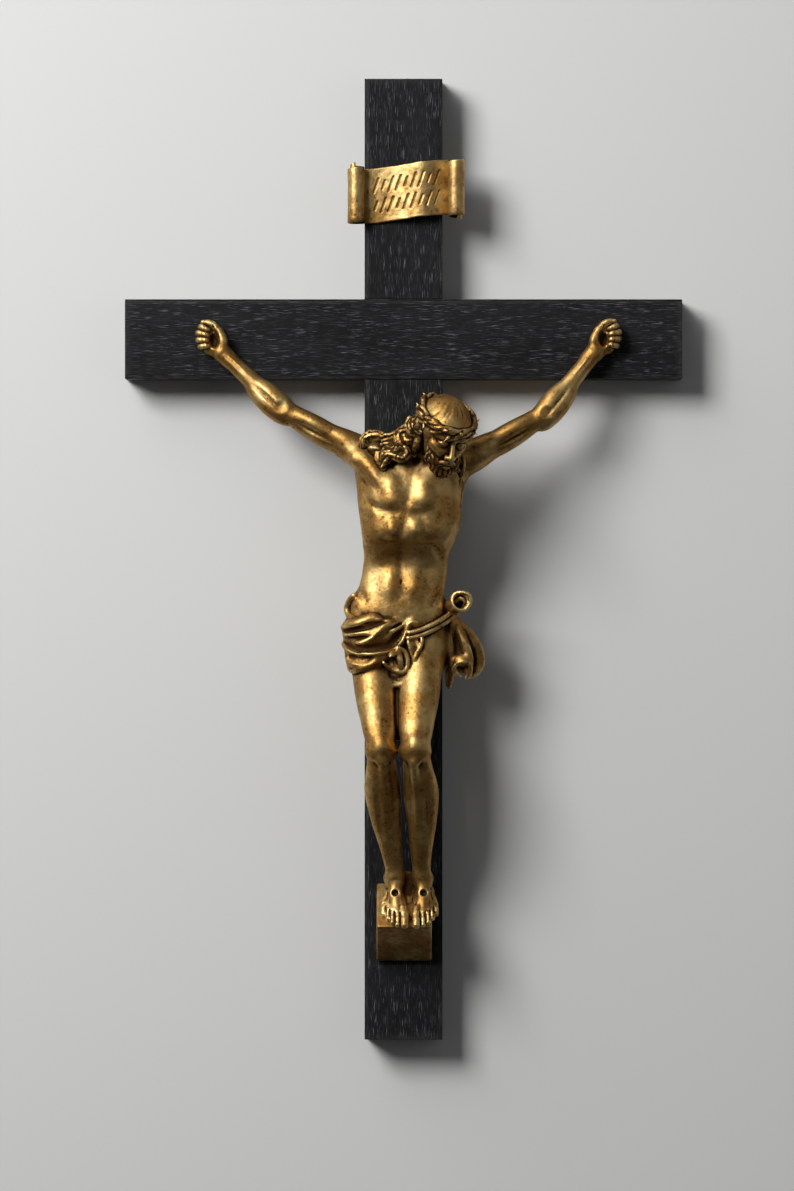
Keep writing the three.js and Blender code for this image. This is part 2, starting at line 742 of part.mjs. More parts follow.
function leg(clay, { inner, hip, knee, ankle }) {
  clay.add(rod(hip, knee, 24, 14), 8);
  clay.add(muscle(hip, knee, 0.42, [inner * 1, 4], [48, 19, 15]), 6); // thigh, front
  clay.add(muscle(hip, knee, 0.72, [inner * 7, 3], [24, 9, 9]), 5);
  clay.add(muscle(hip, knee, 0.55, [inner * -8, 2], [38, 10, 10]), 5);
  clay.add(muscle(hip, knee, 0.4, [0, -6], [48, 18, 15]), 6); // thigh, back
  clay.add(muscle(hip, knee, 0.74, [inner * 4, -5], [30, 9, 9]), 5);
  clay.add(ball(plus(knee, [0, 9, 3]), [8, 7, 9]), 4); // kneecap
  clay.add(rod(plus(knee, [-5, 0, -3]), plus(knee, [5, 0, -3]), 10.5), 4);
  clay.add(calf(inner, knee, ankle), 2);
  clay.add(rod(plus(knee, [inner * 2, 7, -12]), plus(ankle, [0, 3, 14]), 5, 4), 5); // shin
  clay.add(ball(plus(ankle, [inner * 5, -1, 3]), [3.6, 5, 4.6]), 3); // ankle bones
  clay.add(ball(plus(ankle, [inner * -6, -3, -2]), [3.6, 5, 4.8]), 3);
  clay.add(rod(plus(ankle, [0, -7, 18]), plus(ankle, [0, -10, -6]), 4, 4.5), 5); // heel cord
}

// A foot lies along the foot block's slope: points are [aside, along, above] from the slope's top.
const SLOPE_LENGTH = Math.hypot(BLOCK_DEPTH, BLOCK_RIDGE);
const SLOPE = [0, BLOCK_DEPTH / SLOPE_LENGTH, -BLOCK_RIDGE / SLOPE_LENGTH];
const SLOPE_NORMAL = [0, -SLOPE[2], SLOPE[1]];

// The toes, from the big one: [aside, along, radius] of each tip.
const TOES = [
  [8.6, 68.5, 3.8],
  [1.8, 67, 3],
  [-3, 63.5, 2.9],
  [-7.2, 57.5, 2.7],
  [-11, 51, 2.5],
];
const FOOT_TURN = 0.03; // both feet turn a little to the right, as a share of the length

function foot(clay, { inner, ankle }) {
  const top = [ankle[0], 0, HEEL_LEVEL];
  const at = (aside, along, above) => {
    const level = plus(top, [inner * aside + FOOT_TURN * along, 0, 0]);
    return plus(plus(level, SLOPE, along), SLOPE_NORMAL, above);
  };
  clay.add(rod(at(0, 9, 8.5), ankle, 7.5, 7.4), 4); // heel
  clay.add(rod(at(0, 16, 17), at(1, 53, 5.5), 7.6, 5), 4); // instep
  clay.add(rod(at(4, 22, 7), at(8, 54, 4.4), 5, 4.6), 4);
  clay.add(rod(at(-6, 20, 6), at(-6.6, 47, 4.4), 5.4, 4.4), 4);
  clay.add(rod(at(8, 55, 4.6), at(-3, 51, 5.4), 5, 4.6), 3); // ball of the foot
  clay.add(rod(at(-3, 51, 5.4), at(-10, 41, 4.4), 4.6, 4), 3);
  for (const [aside, tip, radius] of TOES) {
    const rise = radius + 2.6;
    const root = [...at(aside * 0.88, tip - 18, rise + 1.4), radius * 0.9];
    const bend = [...at(aside, tip - 9, rise - 0.4), radius];
    clay.add(cord([root, bend, [...at(aside, tip, radius - 0.4), radius * 0.96]]), 1);
  }
  clay.cut(rod(at(0, 32.5, 13), at(0, 44, 28), 3.9, 4.7), 1); // nail hole
}

// The head, modelled upright and facing forward from its own middle, then turned into place.
const HEAD = { middle: [39, 78, -94], nod: 27, turn: 26, lean: 6 };

function headFrame() {
  const turning = new THREE.Matrix4()
    .makeRotationY(THREE.MathUtils.degToRad(HEAD.lean))
    .multiply(new THREE.Matrix4().makeRotationZ(THREE.MathUtils.degToRad(-HEAD.turn)))
    .multiply(new THREE.Matrix4().makeRotationX(THREE.MathUtils.degToRad(-HEAD.nod)));
  const axes = [0, 1, 2].map((i) => new THREE.Vector3().setFromMatrixColumn(turning, i).toArray());
  const at = (x, f, z) =>
    plus(plus(plus(HEAD.middle, axes[0], x), axes[1], f), axes[2], z);
  return { axes, at };
}

function head(clay) {
  const { axes, at } = headFrame();
  const oval = (x, f, z, radii) => ball(at(x, f, z), radii, axes);
  clay.add(oval(0, -5, 9, [26, 31, 27]), 6); // skull
  clay.add(oval(0, 9, -10, [20, 19, 23]), 5); // face
  clay.add(oval(0, 17, -27, [11, 10, 9]), 5); // chin
  clay.add(rod(at(-13, 22, 5), at(13, 22, 5), 5), 4); // brow
  clay.add(rod(at(0, 27, 5), at(0, 33, -7), 2.6, 3.4), 2); // nose
  clay.add(rod(at(-13, 20, -5), at(-9, 22, -9), 5), 4); // cheeks
  clay.add(rod(at(13, 20, -5), at(9, 22, -9), 5), 4);
  clay.cut(oval(-9, 30, 0, [6, 4.5, 4]), 3); // eyes
  clay.cut(oval(9, 30, 0, [6, 4.5, 4]), 3);
  clay.add(oval(-9, 22, 0, [4.6, 4.2, 3.6]), 1.5);
  clay.add(oval(9, 22, 0, [4.6, 4.2, 3.6]), 1.5);
  clay.add(rod(at(-5, 27, -17), at(5, 27, -17), 2.4), 2); // lips
  beard(clay, at);
  crown(clay, at);
}

function beard(clay, at) {
  for (let lock = -4; lock <= 4; lock += 1) {
    const spread = lock / 4;
    const front = 24 - 14 * spread * spread;
    const root = at(spread * 17, front - 1, -14 + 3 * Math.abs(spread));
    const middle = at(spread * 14 + 1.5 * (lock % 2), front + 3, -27);
    const tip = at(spread * 6, front + 2 - 3 * Math.abs(spread), -39 + 6 * Math.abs(spread));
    clay.add(cord([[...root, 3.6], [...middle, 4.6], [...tip, 2.2]]), 1.8);
  }
  for (const side of [-1, 1]) {
    const end = [...at(side * 11, 24, -21), 1.8];
    clay.add(cord([[...at(0, 29, -13), 2.2], [...at(side * 7, 28, -15), 2.4], end]), 1.5);
  }
}

// Twisted twigs round the brow, with thorns.
const CROWN = { twigs: 3, twist: 5, wide: 28, deep: 31.5, level: 17, dip: 3, thickness: 2.3 };

function crown(clay, at) {
  const steps = 48;
  const ring = (angle, out, lift) => {
    const [s, c] = [Math.sin(angle), Math.cos(angle)];
    return at((CROWN.wide + out) * s, (CROWN.deep + out) * c - 4, CROWN.level - CROWN.dip * c + lift);
  };
  for (let twig = 0; twig < CROWN.twigs; twig += 1) {
    const rows = [];
    for (let i = 0; i <= steps; i += 1) {
      const angle = (2 * Math.PI * i) / steps;
      const phase = CROWN.twist * angle + (2 * Math.PI * twig) / CROWN.twigs;
      rows.push([...ring(angle, 1.6 * Math.cos(phase), 3.2 * Math.sin(phase)), CROWN.thickness]);
    }
    clay.add(cord(rows, 1), 0.8);
  }
  const thorns = 12;
  for (let i = 0; i < thorns; i += 1) {
    const angle = (2 * Math.PI * (i + 0.4)) / thorns;
    const lift = i % 2 ? 6 : -3;
    clay.add(rod(ring(angle, 1, lift * 0.4), ring(angle + 0.12, 6, lift), 2, 0.7), 1);
  }
}

// Wavy locks of hair from root to tip, side by side along a second direction.
function locks(clay, { from, to, spread, count, thickness, wave, turns = 1.5 }) {
  const along = unit(minus(to, from));
  const side = unit(spread);
  for (let lock = 0; lock < count; lock += 1) {
    const share = count > 1 ? lock / (count - 1) - 0.5 : 0;
    const rows = [];
    const steps = 6;
    for (let i = 0; i <= steps; i += 1) {
      const t = i / steps;
      const phase = 2 * Math.PI * turns * t + lock * 1.9;
      const swing = wave * Math.sin(phase);
      const lift = wave * 0.5 * Math.cos(phase);
      const middle = plus(lerp(from, to, t), spread, share);
      const bent = plus(plus(middle, side, swing), cross(along, side), lift);
      rows.push([...bent, thickness * (1 - 0.45 * t)]);
    }
    clay.add(cord(rows, 2), 1.2);
  }
}

function hair(clay) {
  const { at } = headFrame();
  // Round the back of the head, from ear to ear
  for (let lock = 0; lock < 9; lock += 1) {
    const angle = THREE.MathUtils.degToRad(95 + lock * 21);
    const [s, c] = [Math.sin(angle), Math.cos(angle)];
    const root = at(26 * s, 30 * c - 5, 10);
    const middle = at(27 * s + 1.5 * (lock % 2), 31 * c - 6, -8);
    const tip = at(21 * s, 24 * c - 8, -26);
    clay.add(cord([[...root, 5], [...middle, 6], [...tip, 4]]), 2);
  }
  // The mass of curls on the left shoulder
  clay.add(cord([[14, 64, -90, 8], [4, 58, -101, 9], [-8, 56, -112, 7], [-15, 58, -122, 4]]), 3);
  clay.add(rod([4, 64, -96], [-14, 57, -106], 10, 9), 4);
  const curls = { thickness: 2.6, wave: 1.8, turns: 1.3 };
  locks(clay, { ...curls, count: 4, from: [8, 76, -92], to: [-22, 62, -104], spread: [3, 2, 12] });
  locks(clay, { ...curls, count: 4, from: [4, 74, -98], to: [-20, 66, -116], spread: [6, 0, 12] });
  locks(clay, { ...curls, count: 4, from: [-2, 73, -108], to: [-20, 67, -128], spread: [10, 0, 6] });
  const arch = [[-40.6, 54, -109, 2], [-40.6, 54.5, -103, 2.8], [-37, 55, -98.8, 3], [-30, 57, -97, 3.2]];
  clay.add(cord([...arch, [-23, 60, -98.4, 3], [-18.4, 62, -103, 2.4]]), 1);
  const bow = [[-4, 72, -94, 2.4], [-6, 73, -100, 3.4], [-3.6, 74, -105.4, 3.4], [1, 74, -108.6, 2.4]];
  clay.add(cord(bow), 1);
  const hook = [[0.6, 75, -110, 2.4], [2.4, 75, -116, 3], [-2, 75, -120.4, 3.2], [-8, 73, -119, 3]];
  clay.add(cord([...hook, [-18.4, 69, -117.6, 2.8], [-20.6, 67, -121.4, 2.4], [-18, 67, -125, 2]]), 1);
  clay.add(cord([[7, 80, -82, 2.8], [5.4, 81, -89, 3.6], [9, 83, -94, 3.6], [15, 85, -97, 2.6]]), 1);
  const side = { count: 2, thickness: 2.6, wave: 1.6 };
  locks(clay, { ...side, from: [54, 72, -112], to: [57, 62, -149], spread: [4, 0, 0] });
}

// The loincloth. Its folds lie on the hips, at the given lift off the skin.
const HIPS = { x: -5, f: 28, wide: 54, deep: 27 };

const WRAP = [
  [-275, -50, -6, 8, 50],
  [-279, -57, 4, 3, 58],
  [-284, -61, 10, 1, 62],
  [-292, -62, 12, 1, 64],
  [-304, -60, 8, 0, 65],
  [-318, -59, -2, 1, 66],
  [-332, -56, -16, 4, 64],
];

// How far forward a stack of sections reaches at a place across and up.
function frontOf(rows, x, z) {
  const last = rows.length - 1;
  if (z > rows[0][0] || z < rows[last][0]) return 0;
  const below = Math.max(1, rows.findIndex((row) => row[0] <= z));
  const share = (rows[below - 1][0] - z) / (rows[below - 1][0] - rows[below][0]);
  const [, left, right, back, front] = lerp(rows[below - 1], rows[below], share);
  const aside = Math.min(1, Math.abs(2 * x - left - right) / (right - left));
  return (back + front) / 2 + ((front - back) / 2) * Math.sqrt(1 - aside * aside);
}

function onHips(x, z, lift) {
  const share = Math.min(1, Math.abs(x - HIPS.x) / HIPS.wide);
  const thighs = HIPS.f + HIPS.deep * Math.sqrt(1 - share * share);
  return [x, Math.max(thighs, frontOf(WRAP, x, z), frontOf(TORSO, x, z)) + lift, z];
}

// A fold through points of [x, z], with its radius and then a share of it at each end.
function fold(clay, points, radius, { lift = 2, soft = 2, start = 1, end = 1 } = {}) {
  const last = points.length - 1;
  const rows = points.map(([x, z], i) => {
    const share = i === 0 ? start : i === last ? end : 1;
    return [...onHips(x, z, lift), radius * share];
  });
  clay.add(cord(rows), soft);
}

// Lifts the cloth along points of [x, z] into a ridge, or sinks it where height is below nought.
function ridge(clay, points, width, height, lift) {
  clay.press(line(points.map(([x, z]) => onHips(x, z, lift)), width), height);
}

function loincloth(clay) {
  clay.add(stack(WRAP), 1.5);
  clay.add(ball([-44, 31, -270], [12, 22, 16]), 6); // left hip
  const band = [[-47, -256], [-52, -259.4], [-55.4, -266], [-54.6, -273], [-50, -278], [-42, -281.4]];
  fold(clay, band, 2.6, { lift: 0.6, soft: 3, end: 0.6 });
  // The top pleat and the second one below it
  const top = [[-62, -288], [-55, -286.6], [-47, -284.6], [-39, -281.6], [-31, -279], [-25, -280.4]];
  fold(clay, top, 4.6, { lift: -1.4, soft: 4, start: 0.6, end: 0.6 });
  ridge(clay, top, 6, 2.6, 3);
  ridge(clay, [[-63, -292], [-55, -291.6], [-44, -290], [-33, -287], [-14, -284]], 5, -5, 0);
  ridge(clay, [[-64, -296], [-54, -295], [-44, -294], [-33, -292.6], [-17, -285.6]], 5, 4.4, 1);
  ridge(clay, [[-64, -300], [-55, -299.6], [-44, -299], [-33, -297.6], [-27, -295]], 5, -3.6, -1);
  // The main ridge
  const main = [[-64, -304], [-53, -305], [-44, -304], [-34, -299.6], [-27, -294], [-20, -287.4]];
  ridge(clay, [...main, [-13, -284.6], [-2, -282]], 7, 7, 1);
  ridge(clay, [[-15, -294.6], [-10, -291.6], [-5, -288], [0, -283]], 4, 5, 1);
  // The hem's standing lip, with a hollow above it
  const hem = [[-60, -305.4], [-53, -309.4], [-42, -313], [-34, -314.6], [-23, -313.4], [-13, -311]];
  const rising = [[-5, -304.6], [-1, -299], [2, -292.6], [4.4, -285.4], [8.4, -283], [12.4, -283.8]];
  fold(clay, [...hem, ...rising], 4, { lift: -1, soft: 4, start: 0.6, end: 0.5 });
  fold(clay, [...hem, ...rising], 2, { lift: 2.6, soft: 2.6, start: 0.6, end: 0.9 });
  const above = [[-60, -304], [-52, -306], [-44, -309], [-36, -309.4], [-24, -307.6], [-14, -304]];
  ridge(clay, [...above, [-8, -298], [-4, -290]], 7, -7, 0);
  // The panel below the hem, which overhangs the thigh
  const panel = [[-52, -320], [-46, -323], [-36, -322], [-25, -319], [-14, -314]];
  fold(clay, panel, 7, { lift: -4, soft: 5, start: 0.9, end: 0.4 });
  const edge = [[-54, -331.5], [-50, -332], [-43, -329], [-34, -325.6], [-23, -320.6], [-14, -314.6]];
  fold(clay, edge, 2.4, { lift: 1, soft: 3, start: 0.7, end: 0.6 });
  // Two strands from the roll-over in front to the knot at the right hip
  for (const strand of [0, 1]) {
    const z = -5.4 * strand;
    const path = [[5, -293.6 + z], [15.6, -291 + z], [28, -285.6 + z], [38, -280 + z], [49, -272 + z]];
    fold(clay, path, 2.5, { lift: 4.4, soft: 1 });
  }
  tail(clay);
  drape(clay);
}

// A filled patch of cloth, an oval that leans to the right by an angle in degrees.
function flap(clay, [x, z], lift, [wide, deep, high], lean = 0) {
  const turn = THREE.MathUtils.degToRad(lean);
  const [c, s] = [Math.cos(turn), Math.sin(turn)];
  const axes = [
    [c, 0, -s],
    [0, 1, 0],
    [s, 0, c],
  ];
  clay.add(ball(onHips(x, z, lift), [wide, deep, high], axes), 2.5);
}

// The short end that falls between the thighs.
function tail(clay) {
  flap(clay, [10.6, -308], 3, [6.6, 5, 9.6], -14);
  const rim = { soft: 2, end: 0.7 };
  fold(clay, [[17.6, -299.6], [17, -306], [13.4, -311.6], [10, -322]], 2, { ...rim, lift: 6 });
  fold(clay, [[4, -303], [6.4, -312], [9, -320]], 2, { ...rim, lift: 6 });
  flap(clay, [8, -329], 0, [5, 4, 15], 34);
  fold(clay, [[14, -322], [9.6, -331], [4.4, -338.4], [-6, -347]], 2, { ...rim, lift: 4 });
  flap(clay, [-7, -322], 3, [11, 6, 9]);
  const curve = [[-6, -309], [0, -312.6], [3.2, -320], [3, -328], [-1, -332.4], [-7, -331.4]];
  fold(clay, [...curve, [-14, -328.4], [-20, -323.6]], 2.4, { ...rim, lift: 6.4 });
  ridge(clay, [[-19, -321.6], [-13, -317], [-7, -314.8], [-4.6, -319.6], [-3, -327]], 4.4, 3.4, 9);
  ridge(clay, [[-17, -326], [-11, -321.6], [-8.6, -324], [-8, -329]], 3.6, -3.4, 9);
  flap(clay, [-6, -338.4], 0.6, [9.6, 5, 5.6]);
  fold(clay, [[-16, -334], [-15, -342], [-10, -344], [-3, -342], [3, -336]], 2, { ...rim, lift: 4 });
  fold(clay, [[-11, -343], [-12.4, -349]], 3, { lift: 1.5, end: 0.6 });
}

// The knot at the right hip, rolled into a hollow end, and the cloth that hangs from it.
function drape(clay) {
  clay.add(rod([46, 34, -268], [56, 53, -262.5], 8, 10.4), 3);
  clay.add(rod([49, 36, -271], [49, 38, -284], 6, 5), 3);
  clay.cut(rod([54, 49, -263.5], [58, 64, -261.5], 7.4), 1);
  // Flutes that fan out from the knot
  const fan = [
    [[48, 37, -281, 4.6], [46, 35, -299, 5.6], [46.5, 33, -316, 5.4], [51, 33, -330, 4.4]],
    [[50, 36, -282, 4.6], [54, 30, -300, 6.6], [57, 29, -318, 6.6], [58, 29, -330, 5]],
    [[51, 37, -283, 4.6], [60, 37, -300, 5.4], [65, 35.6, -320, 5], [64, 33, -333, 4]],
    [[53, 34, -285, 4], [66, 29, -301, 6], [71, 25, -318, 6.4], [70, 24, -330, 5.4]],
  ];
  for (const flute of fan) clay.add(cord(flute), 3);
  const border = [[49, 36, -281, 2.6], [56, 37, -284.6, 2.6], [64, 36, -290.6, 2.6], [70, 34, -298, 2.6]];
  const falling = [[75.6, 31, -308, 2.6], [78, 29, -318, 2.6], [77.6, 28, -326, 2.5], [72.6, 29, -334, 2.4]];
  clay.add(cord([...border, ...falling, [66, 31, -337.4, 2.2], [62, 33, -338, 2]]), 2.5);
  const inside = [[55, 42, -286], [63, 41, -296], [70, 36, -308], [72, 33, -320], [70, 32, -331]];
  clay.press(line(inside, 6), -2.4);
  // The curl at the bottom, open below
  clay.add(ball([58, 37, -321], [9, 6.4, 6.4]), 3);
  const curl = [[48.6, 37, -331, 2.2], [51.6, 40.4, -325.6, 2.4], [58, 42.6, -322.6, 2.4]];
  const under = [[64, 41.4, -324, 2.4], [66.4, 38.4, -329, 2.2], [65, 35, -335, 2], [62, 33, -338.4, 1.8]];
  clay.add(cord([...curl, ...under]), 2);
  clay.cut(rod([57, 30, -336], [58, 54, -331], 2.8, 4.8), 2);
  clay.add(cord([[45, 14, -300, 4], [46, 14, -330, 5], [44.6, 12, -347, 3]]), 3);
}

function corpusClay() {
  const cell = CORPUS_MESH / UNIT;
  const clay = new Clay([-218, -6, -600], [226, 124, 36], cell);
  torso(clay);
  for (const limb of Object.values(ARMS)) {
    arm(clay, limb);
    hand(clay, limb);
  }
  for (const limb of Object.values(LEGS)) {
    leg(clay, limb);
    foot(clay, limb);
  }
  head(clay);
  hair(clay);
  loincloth(clay);
  return clay;
}

// Casting: the clay's surface as triangles

// The six ways from a cube's first corner to its last along three edges, each a tetrahedron.
const PATHS = [
  { steps: [0, 1, 2], even: true },
  { steps: [1, 2, 0], even: true },
  { steps: [2, 0, 1], even: true },
  { steps: [0, 2, 1], even: false },
  { steps: [2, 1, 0], even: false },
  { steps: [1, 0, 2], even: false },
];

// Finds the surface where the distance is nought, cube by cube, each as six tetrahedra.
function surfaceOf(clay) {
  const [nx, ny, nz] = clay.count;
  const { field } = clay;
  const step = [1, nx, nx * ny];
  const corner = (index) => [
    clay.low[0] + (index % nx) * clay.cell,
    clay.low[1] + (Math.floor(index / nx) % ny) * clay.cell,
    clay.low[2] + Math.floor(index / step[2]) * clay.cell,
  ];
  const places = [];
  const known = new Map();
  const crossing = (a, b) => {
    const [low, high] = a < b ? [a, b] : [b, a];
    const key = low * 2 * step[2] + high - low;
    if (!known.has(key)) {
      known.set(key, places.length);
      places.push(lerp(corner(low), corner(high), field[low] / (field[low] - field[high])));
    }
    return known.get(key);
  };
  const triangles = [];
  const far = step[0] + step[1] + step[2];
  for (let z = 0; z < nz - 1; z += 1) {
    for (let y = 0; y < ny - 1; y += 1) {
      for (let x = 0; x < nx - 1; x += 1) {
        const base = z * step[2] + y * step[1] + x;
        if (!mixed(field, base, step)) continue;
        for (const { steps, even } of PATHS) {
          const second = base + step[steps[0]];
          const third = second + step[steps[1]];
          const [a, b] = even ? [base, second] : [second, base];
          slice([a, b, third, base + far], field, crossing, triangles);
        }
      }
    }
  }
  return { places, triangles };
}

function mixed(field, base, step) {
  const inside = field[base] < 0;
  for (let c = 1; c < 8; c += 1) {
    const index = base + (c & 1 && step[0]) + (c & 2 && step[1]) + (c & 4 && step[2]);
    if (field[index] < 0 !== inside) return true;
  }
  return false;
}

// Adds the triangles where the surface crosses one tetrahedron, facing out.
function slice([a, b, c, d], field, crossing, triangles) {
  const inside = [a, b, c, d].map((v) => field[v] < 0);
  const count = inside.filter(Boolean).length;
  if (count === 0 || count === 4) return;
  if (count === 2) {
    const pairs = {
      "0,1": [a, b, c, d],
      "0,2": [a, c, d, b],
      "0,3": [a, d, b, c],
      "1,2": [b, c, a, d],
      "1,3": [b, d, c, a],
      "2,3": [c, d, a, b],
    };
    const [p, q, r, s] = pairs[[inside.indexOf(true), inside.lastIndexOf(true)]];
    const square = [crossing(p, r), crossing(p, s), crossing(q, s), crossing(q, r)];
    triangles.push([square[0], square[1], square[2]], [square[0], square[2], square[3]]);
    return;
  }
  const orders = [
    [a, b, c, d],
    [b, a, d, c],
    [c, a, b, d],
    [d, a, c, b],
  ];
  const [p, q, r, s] = orders[inside.indexOf(count === 1)];
  const face = [crossing(p, q), crossing(p, r), crossing(p, s)];
  triangles.push(count === 1 ? face : face.reverse());
}

// Keeps the largest connected piece of a mesh.
function largestPiece({ places, triangles }) {
  const parent = places.map((_, i) => i);
  const root = (i) => {
    while (parent[i] !== i) {
      parent[i] = parent[parent[i]];
      i = parent[i];
    }
    return i;
  };
  for (const [a, b, c] of triangles) {
    parent[root(a)] = root(b);
    parent[root(b)] = root(c);
  }
  const size = new Map();
  for (const [a] of triangles) size.set(root(a), (size.get(root(a)) ?? 0) + 1);
  const largest = [...size].reduce((best, next) => (next[1] > best[1] ? next : best))[0];
  return { places, triangles: triangles.filter(([a]) => root(a) === largest) };
}

// A heap that gives the entry with the least cost first.
class Heap {
  constructor() {
    this.items = [];
  }

  push(item) {
    const { items } = this;
    let i = items.push(item) - 1;
    while (i > 0) {
      const up = (i - 1) >> 1;
      if (items[up].cost <= item.cost) break;
      items[i] = items[up];
      i = up;
    }
    items[i] = item;
  }

  pop() {
    const { items } = this;
    const first = items[0];
    const last = items.pop();
    if (items.length > 0) {
      let i = 0;
      while (2 * i + 1 < items.length) {
        let down = 2 * i + 1;
        if (down + 1 < items.length && items[down + 1].cost < items[down].cost) down += 1;
        if (items[down].cost >= last.cost) break;
        items[i] = items[down];
        i = down;
      }
      items[i] = last;
    }
    return first;
  }
}

// Simplifies a closed mesh to a number of triangles by closing the edges that matter least.
// A quadric is the squared distance to a vertex's planes: [xx, xy, xz, xw, yy, yz, yw, zz, zw, ww].
class Simplifier {
  constructor({ places, triangles }) {
    this.places = places;
    this.faces = triangles;
    this.around = places.map(() => new Set());
    this.quadrics = places.map(() => new Float64Array(10));
    this.version = new Int32Array(places.length);
    this.left = triangles.length;
    triangles.forEach((face, f) => {
      const normal = this.normal(face);
      const area = Math.hypot(...normal);
      const [x, y, z] = area > 0 ? unit(normal) : [0, 0, 0];
      const w = -dot([x, y, z], places[face[0]]);
      const terms = [x * x, x * y, x * z, x * w, y * y, y * z, y * w, z * z, z * w, w * w];
      for (const v of face) {
        this.around[v].add(f);
        terms.forEach((term, i) => {
          this.quadrics[v][i] += term * area;
        });
      }
    });
    this.heap = new Heap();
    triangles.forEach((face) => {
      face.forEach((a, i) => {
        const b = face[(i + 1) % 3];
        if (a < b) this.offer(a, b);
      });
    });
  }

  normal([a, b, c], moved = -1, place = null) {
    const [p, q, r] = [a, b, c].map((v) => (v === moved ? place : this.places[v]));
    return cross(minus(q, p), minus(r, p));
  }

  cost(q, [x, y, z]) {
    return (
      x * (q[0] * x + 2 * (q[1] * y + q[2] * z + q[3])) +
      y * (q[4] * y + 2 * (q[5] * z + q[6])) +
      z * (q[7] * z + 2 * q[8]) +
      q[9]
    );
  }

  offer(a, b) {
    const q = this.quadrics[a].map((v, i) => v + this.quadrics[b][i]);
    const middle = lerp(this.places[a], this.places[b], 0.5);
    // A slight pull to the edge's middle keeps the place defined on flats and ridges.
    const pull = 1e-3 * (q[0] + q[4] + q[7]) + 1e-9;
    const [xx, yy, zz] = [q[0] + pull, q[4] + pull, q[7] + pull];
    const [xy, xz, yz] = [q[1], q[2], q[5]];
    const [p, s, t] = [q[3], q[6], q[8]].map((v, i) => pull * middle[i] - v);
    const [cx, cy, cz] = [yy * zz - yz * yz, xz * yz - xy * zz, xy * yz - xz * yy];
    const det = xx * cx + xy * cy + xz * cz;
    let place = middle;
    if (det > 1e-12) {
      const found = [
        (p * cx + s * cy + t * cz) / det,
        (p * cy + s * (xx * zz - xz * xz) + t * (xy * xz - xx * yz)) / det,
        (p * cz + s * (xy * xz - xx * yz) + t * (xx * yy - xy * xy)) / det,
      ];
      const length = Math.hypot(...minus(this.places[a], this.places[b]));
      if (Math.hypot(...minus(found, middle)) < length) place = found;
    }
    const stamp = [this.version[a], this.version[b]];
    this.heap.push({ cost: this.cost(q, place), a, b, place, stamp });
  }

  neighbours(v) {
    const found = new Set();
    for (const f of this.around[v]) for (const n of this.faces[f]) if (n !== v) found.add(n);
    return found;
  }

  // Whether closing the edge would leave the mesh one clean skin that folds nowhere.
  allowed(a, b, place) {
    const near = this.neighbours(b);
    const shared = [...this.neighbours(a)].filter((v) => near.has(v));
    if (shared.length !== 2) return false;
    if (shared.some((v) => this.around[v].size <= 3)) return false;
    for (const [v, other] of [
      [a, b],
      [b, a],
    ]) {
      for (const f of this.around[v]) {
        const face = this.faces[f];
        if (face.includes(other)) continue;
        const before = this.normal(face);
        const after = this.normal(face, v, place);
        const sizes = Math.hypot(...before) * Math.hypot(...after);
        if (dot(before, after) <= 0.2 * sizes) return false;
      }
    }
    return true;
  }

  close(a, b, place) {
    this.places[a] = place;
    this.quadrics[a] = this.quadrics[a].map((v, i) => v + this.quadrics[b][i]);
    for (const f of this.around[b]) {
      const face = this.faces[f];
      if (face.includes(a)) {
        for (const v of face) this.around[v].delete(f);
        this.faces[f] = null;
        this.left -= 1;
      } else {
        face[face.indexOf(b)] = a;
        this.around[a].add(f);
      }
    }
    this.around[b].clear();
    this.version[a] += 1;
    this.version[b] += 1;
    for (const v of this.neighbours(a)) this.offer(a, v);
  }

  run(target) {
    while (this.left > target && this.heap.items.length > 0) {
      const { a, b, place, stamp } = this.heap.pop();
      const fresh = this.version[a] === stamp[0] && this.version[b] === stamp[1];
      if (fresh && this.around[a].size > 0 && this.around[b].size > 0) {
        if (this.allowed(a, b, place)) this.close(a, b, place);
      }
    }
    return { places: this.places, triangles: this.faces.filter(Boolean) };
  }
}

function corpus() {
  const clay = corpusClay();
  clay.level();
  const surface = largestPiece(surfaceOf(clay));
  const { places, triangles } = new Simplifier(surface).run(CORPUS_TRIANGLES);
  const seat = frontFace - SEAT_GAP;
  // The figure's f runs against Y, so its triangles are turned round.
  const corners = triangles.flatMap(([a, b, c]) => [a, c, b]);
  const points = corners.flatMap((v) => {
    const [x, f, z] = places[v];
    return [x * UNIT + CORPUS_SHIFT, Math.min(seat, frontFace - f * UNIT), z * UNIT];
  });
  const geometry = new THREE.BufferGeometry();
  geometry.setAttribute("position", new THREE.Float32BufferAttribute(points, 3));
  return solidOf(geometry).subtract(footBlockRoom());
}

// The object

const BRASS = { color: 0x9c7a38, roughness: 0.36, metalness: 1 };
const BLACK_OAK = { color: 0x1f1f21, roughness: 0.6, metalness: 0 };
const STEEL = { color: 0x9a9a98, roughness: 0.4, metalness: 1 };

function node(name, solid, finish) {
  const material = new THREE.MeshStandardMaterial({ ...finish, name, flatShading: true });
  const mesh = new THREE.Mesh(geometryOf(solid), material);
  mesh.name = name;
  return mesh;
}

const crucifix = new THREE.Group();
crucifix.name = "crucifix";
crucifix.add(
  node("upright", upright(), BLACK_OAK),
  node("crossbar", crossbar(), BLACK_OAK),
  node("corpus", corpus(), BRASS),
  node("titulus", titulus(), BRASS),
  node("foot_block", footBlock(), BRASS),
  node("hanger", hanger(), STEEL),
);

export default crucifix;
